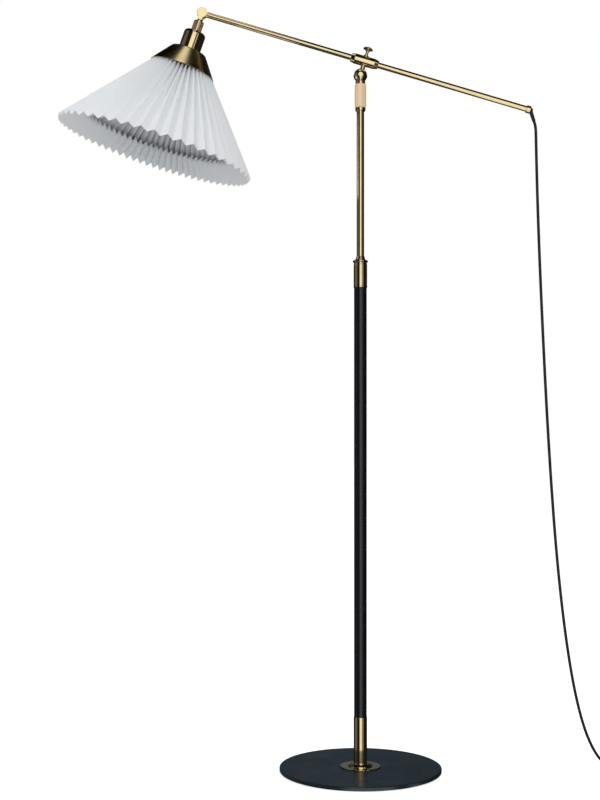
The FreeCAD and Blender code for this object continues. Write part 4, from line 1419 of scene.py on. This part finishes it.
# ---- studio -------------------------------------------------------------------------------
@dataclass
class Studio:
    """A white floor and world, soft lamps, and the cards that the brass mirrors."""

    ambient: float = 0.56
    floor_glow: float = 0.62
    dome_glow: float = 1.1
    floor_card_glow: float = 1.0
    card_distance: float = 6.0
    card_middle: Point = (0.0, 0.0, 0.7)

    def link(self, made: bpy.types.Object) -> bpy.types.Object:
        """Adds an object to the scene."""
        bpy.context.scene.collection.objects.link(made)
        return made

    def surface(
        self, name: str, mesh: bmesh.types.BMesh, paint: bpy.types.Material
    ) -> bpy.types.Object:
        """Makes a surface of the studio.

        Args:
            name: Its name.
            mesh: Its shape, which is freed.
            paint: Its material.

        Returns:
            The object.
        """
        data = bpy.data.meshes.new(name)
        mesh.to_mesh(data)
        mesh.free()
        data.materials.append(paint)
        return self.link(bpy.data.objects.new(name, data))

    def background_share(self, graph: Graph) -> bpy.types.NodeSocket:
        """1 for rays that see the background: from the camera, off metal or through glass."""
        rays = graph.add("LightPath")
        return graph.maths(
            "MAXIMUM",
            graph.maths(
                "MAXIMUM", rays.outputs["Is Camera Ray"], rays.outputs["Is Glossy Ray"]
            ),
            rays.outputs["Is Transmission Ray"],
        )

    def world(self) -> None:
        """A world that is white where it is seen and dimmer as light."""
        world = bpy.data.worlds.new("white_room")
        bpy.context.scene.world = world
        world.use_nodes = True
        graph = Graph(world.node_tree)
        strength = graph.add("Mix", data_type="FLOAT")
        strength.inputs[2].default_value = self.ambient
        strength.inputs[3].default_value = 1.0
        graph.join(self.background_share(graph), strength.inputs[0])
        light = graph.add("Background", Color=(1, 1, 1, 1))
        graph.join(strength.outputs[0], light.inputs["Strength"])
        output = graph.add("OutputWorld")
        graph.join(light.outputs[0], output.inputs[0])

    def floor(self) -> None:
        """A white floor that keeps the lamp's shadow."""
        mesh = bmesh.new()
        bmesh.ops.create_grid(mesh, x_segments=1, y_segments=1, size=20.0)
        paint = bpy.data.materials.new("floor_white")
        paint.use_nodes = True
        graph = Graph(paint.node_tree)
        matt = graph.add("BsdfDiffuse", Color=(0.8, 0.8, 0.8, 1))
        glow = graph.add("Emission", Color=(1, 1, 1, 1))
        graph.join(
            graph.maths("MULTIPLY", self.background_share(graph), self.floor_glow),
            glow.inputs["Strength"],
        )
        both = graph.add("AddShader")
        graph.join(matt.outputs[0], both.inputs[0])
        graph.join(glow.outputs[0], both.inputs[1])
        output = graph.add("OutputMaterial")
        graph.join(both.outputs[0], output.inputs["Surface"])
        self.surface("floor", mesh, paint)

    def only_in_reflections(self, card: bpy.types.Object) -> None:
        """Hides a card from everything but reflections."""
        card.visible_camera = False
        card.visible_diffuse = False
        card.visible_transmission = False
        card.visible_volume_scatter = False
        card.visible_shadow = False

    def strips(self, graph: Graph) -> bpy.types.NodeSocket:
        """Bright upright strips on dark cards, by their direction from the object's middle.

        Args:
            graph: The graph of the card's material.

        Returns:
            The strips' colours.
        """
        apart = graph.add("SeparateXYZ")
        graph.join(graph.add("TexCoord").outputs["Object"], apart.inputs[0])
        away = graph.maths("MULTIPLY", apart.outputs[1], -1.0)
        azimuth = graph.maths("ARCTAN2", apart.outputs[0], away)
        round_share = graph.add("MapRange", From_Min=-math.pi, From_Max=math.pi)
        graph.join(azimuth, round_share.inputs["Value"])
        dark: Colour = (0.012, 0.012, 0.014)
        behind: Colour = (0.10, 0.12, 0.14)
        stops = (
            (-180, behind),
            (-160, dark),
            (-112, dark),
            (-95, (0.16, 0.16, 0.17)),
            (-64, (0.12, 0.12, 0.13)),
            (-50, dark),
            (-18, dark),
            (-10, (1.0, 1.0, 1.0)),
            (20, (1.0, 1.0, 1.0)),
            (26, dark),
            (33, dark),
            (37, (0.55, 0.55, 0.55)),
            (43, (0.55, 0.55, 0.55)),
            (48, dark),
            (160, dark),
            (180, behind),
        )
        return graph.ramp(
            round_share.outputs[0], [((a + 180) / 360, colour) for a, colour in stops]
        )

    def card_paint(
        self, name: str, strength: float, pattern: Callable[[Graph], bpy.types.NodeSocket]
    ) -> bpy.types.Material:
        """A glowing paint that is never sampled as a lamp.

        Args:
            name: Its name.
            strength: How bright it is.
            pattern: Adds its colours to its graph.

        Returns:
            The material.
        """
        paint = bpy.data.materials.new(name)
        paint.use_nodes = True
        graph = Graph(paint.node_tree)
        glow = graph.add("Emission", Strength=strength)
        graph.join(pattern(graph), glow.inputs["Color"])
        output = graph.add("OutputMaterial")
        graph.join(glow.outputs[0], output.inputs["Surface"])
        paint.cycles.emission_sampling = "NONE"
        return paint

    def strips_by_height(self, graph: Graph) -> bpy.types.NodeSocket:
        """The strips, bright only near the horizon.

        Args:
            graph: The graph of the card's material.

        Returns:
            The colours.
        """
        apart = graph.add("SeparateXYZ")
        graph.join(graph.add("TexCoord").outputs["Object"], apart.inputs[0])
        height_share = graph.add(
            "MapRange", From_Min=-self.card_distance, From_Max=self.card_distance
        )
        graph.join(apart.outputs[2], height_share.inputs["Value"])

        def level(value: float) -> float:
            """Ramp place of an elevation."""
            return (math.sin(math.radians(value)) + 1) / 2

        heights = graph.ramp(
            height_share.outputs[0],
            (
                (level(-32), (0.03, 0.03, 0.03)),
                (level(-22), (1.0, 1.0, 1.0)),
                (level(33), (1.0, 1.0, 1.0)),
                (level(42), (0.03, 0.03, 0.035)),
                (level(70), (0.03, 0.03, 0.035)),
            ),
        )
        both = graph.add("Mix", data_type="RGBA", blend_type="MULTIPLY")
        both.inputs[0].default_value = 1.0
        graph.join(self.strips(graph), both.inputs[6])
        graph.join(heights, both.inputs[7])
        return both.outputs[2]

    def cards(self) -> None:
        """A round of dark cards with bright strips, seen only in reflections."""
        mesh = bmesh.new()
        bmesh.ops.create_uvsphere(
            mesh, u_segments=48, v_segments=24, radius=self.card_distance
        )
        paint = self.card_paint("card_light", self.dome_glow, self.strips_by_height)
        dome = self.surface("reflection_cards", mesh, paint)
        dome.location = self.card_middle
        self.only_in_reflections(dome)

    def floor_card(self) -> None:
        """A sheet on the floor that carries the strips on, seen only in reflections."""
        mesh = bmesh.new()
        bmesh.ops.create_grid(mesh, x_segments=1, y_segments=1, size=7.0)
        bmesh.ops.translate(mesh, vec=(0, 0, 0.0004), verts=mesh.verts)
        paint = self.card_paint("floor_card_dark", self.floor_card_glow, self.strips)
        self.only_in_reflections(self.surface("floor_card", mesh, paint))

    def lamp(
        self,
        name: str,
        place: Point,
        aim: Point,
        size: float,
        watts: float,
        glossy: bool = False,
    ) -> None:
        """A square soft lamp.

        Args:
            name: Its name.
            place: Its middle.
            aim: The point that it faces.
            size: Its side.
            watts: Its power.
            glossy: Whether it shows in reflections.
        """
        data = bpy.data.lights.new(name, "AREA")
        data.size = size
        data.energy = watts
        lamp = self.link(bpy.data.objects.new(name, data))
        lamp.location = place
        direction = Vector(aim) - Vector(place)
        lamp.rotation_euler = direction.to_track_quat("-Z", "Y").to_euler()
        lamp.visible_glossy = glossy

    def make(self) -> None:
        """Builds the studio and sets how the picture is shown."""
        bpy.context.scene.view_settings.view_transform = "Standard"
        self.world()
        self.floor()
        self.cards()
        self.floor_card()
        self.lamp("key", (-2.2, -2.6, 2.4), (-0.2, 0, 1.0), 1.6, 20)
        self.lamp("fill", (0.7, -3.2, 1.3), (0, 0, 0.9), 2.0, 20)
        self.lamp("top", (0.2, 0.8, 3.2), (0, 0, 0.6), 2.2, 16)
        self.lamp("cap", (-0.12, -0.15, 2.25), (-0.3, -0.05, 1.22), 0.35, 0.5, glossy=True)
        log.info("studio ready")


def main() -> None:
    """Builds the whole scene: camera and cord first, then the other pieces."""
    logging.basicConfig(level=logging.INFO, format="%(name)s: %(message)s")
    PhotoCamera().make()
    SupplyCord().make()
    PleatedShade().make()
    WoodGrip().make()
    for tube in drawn_tubes():
        tube.make()
    NodeFinishes().dress()
    Studio().make()


if __name__ == "__main__":
    main()
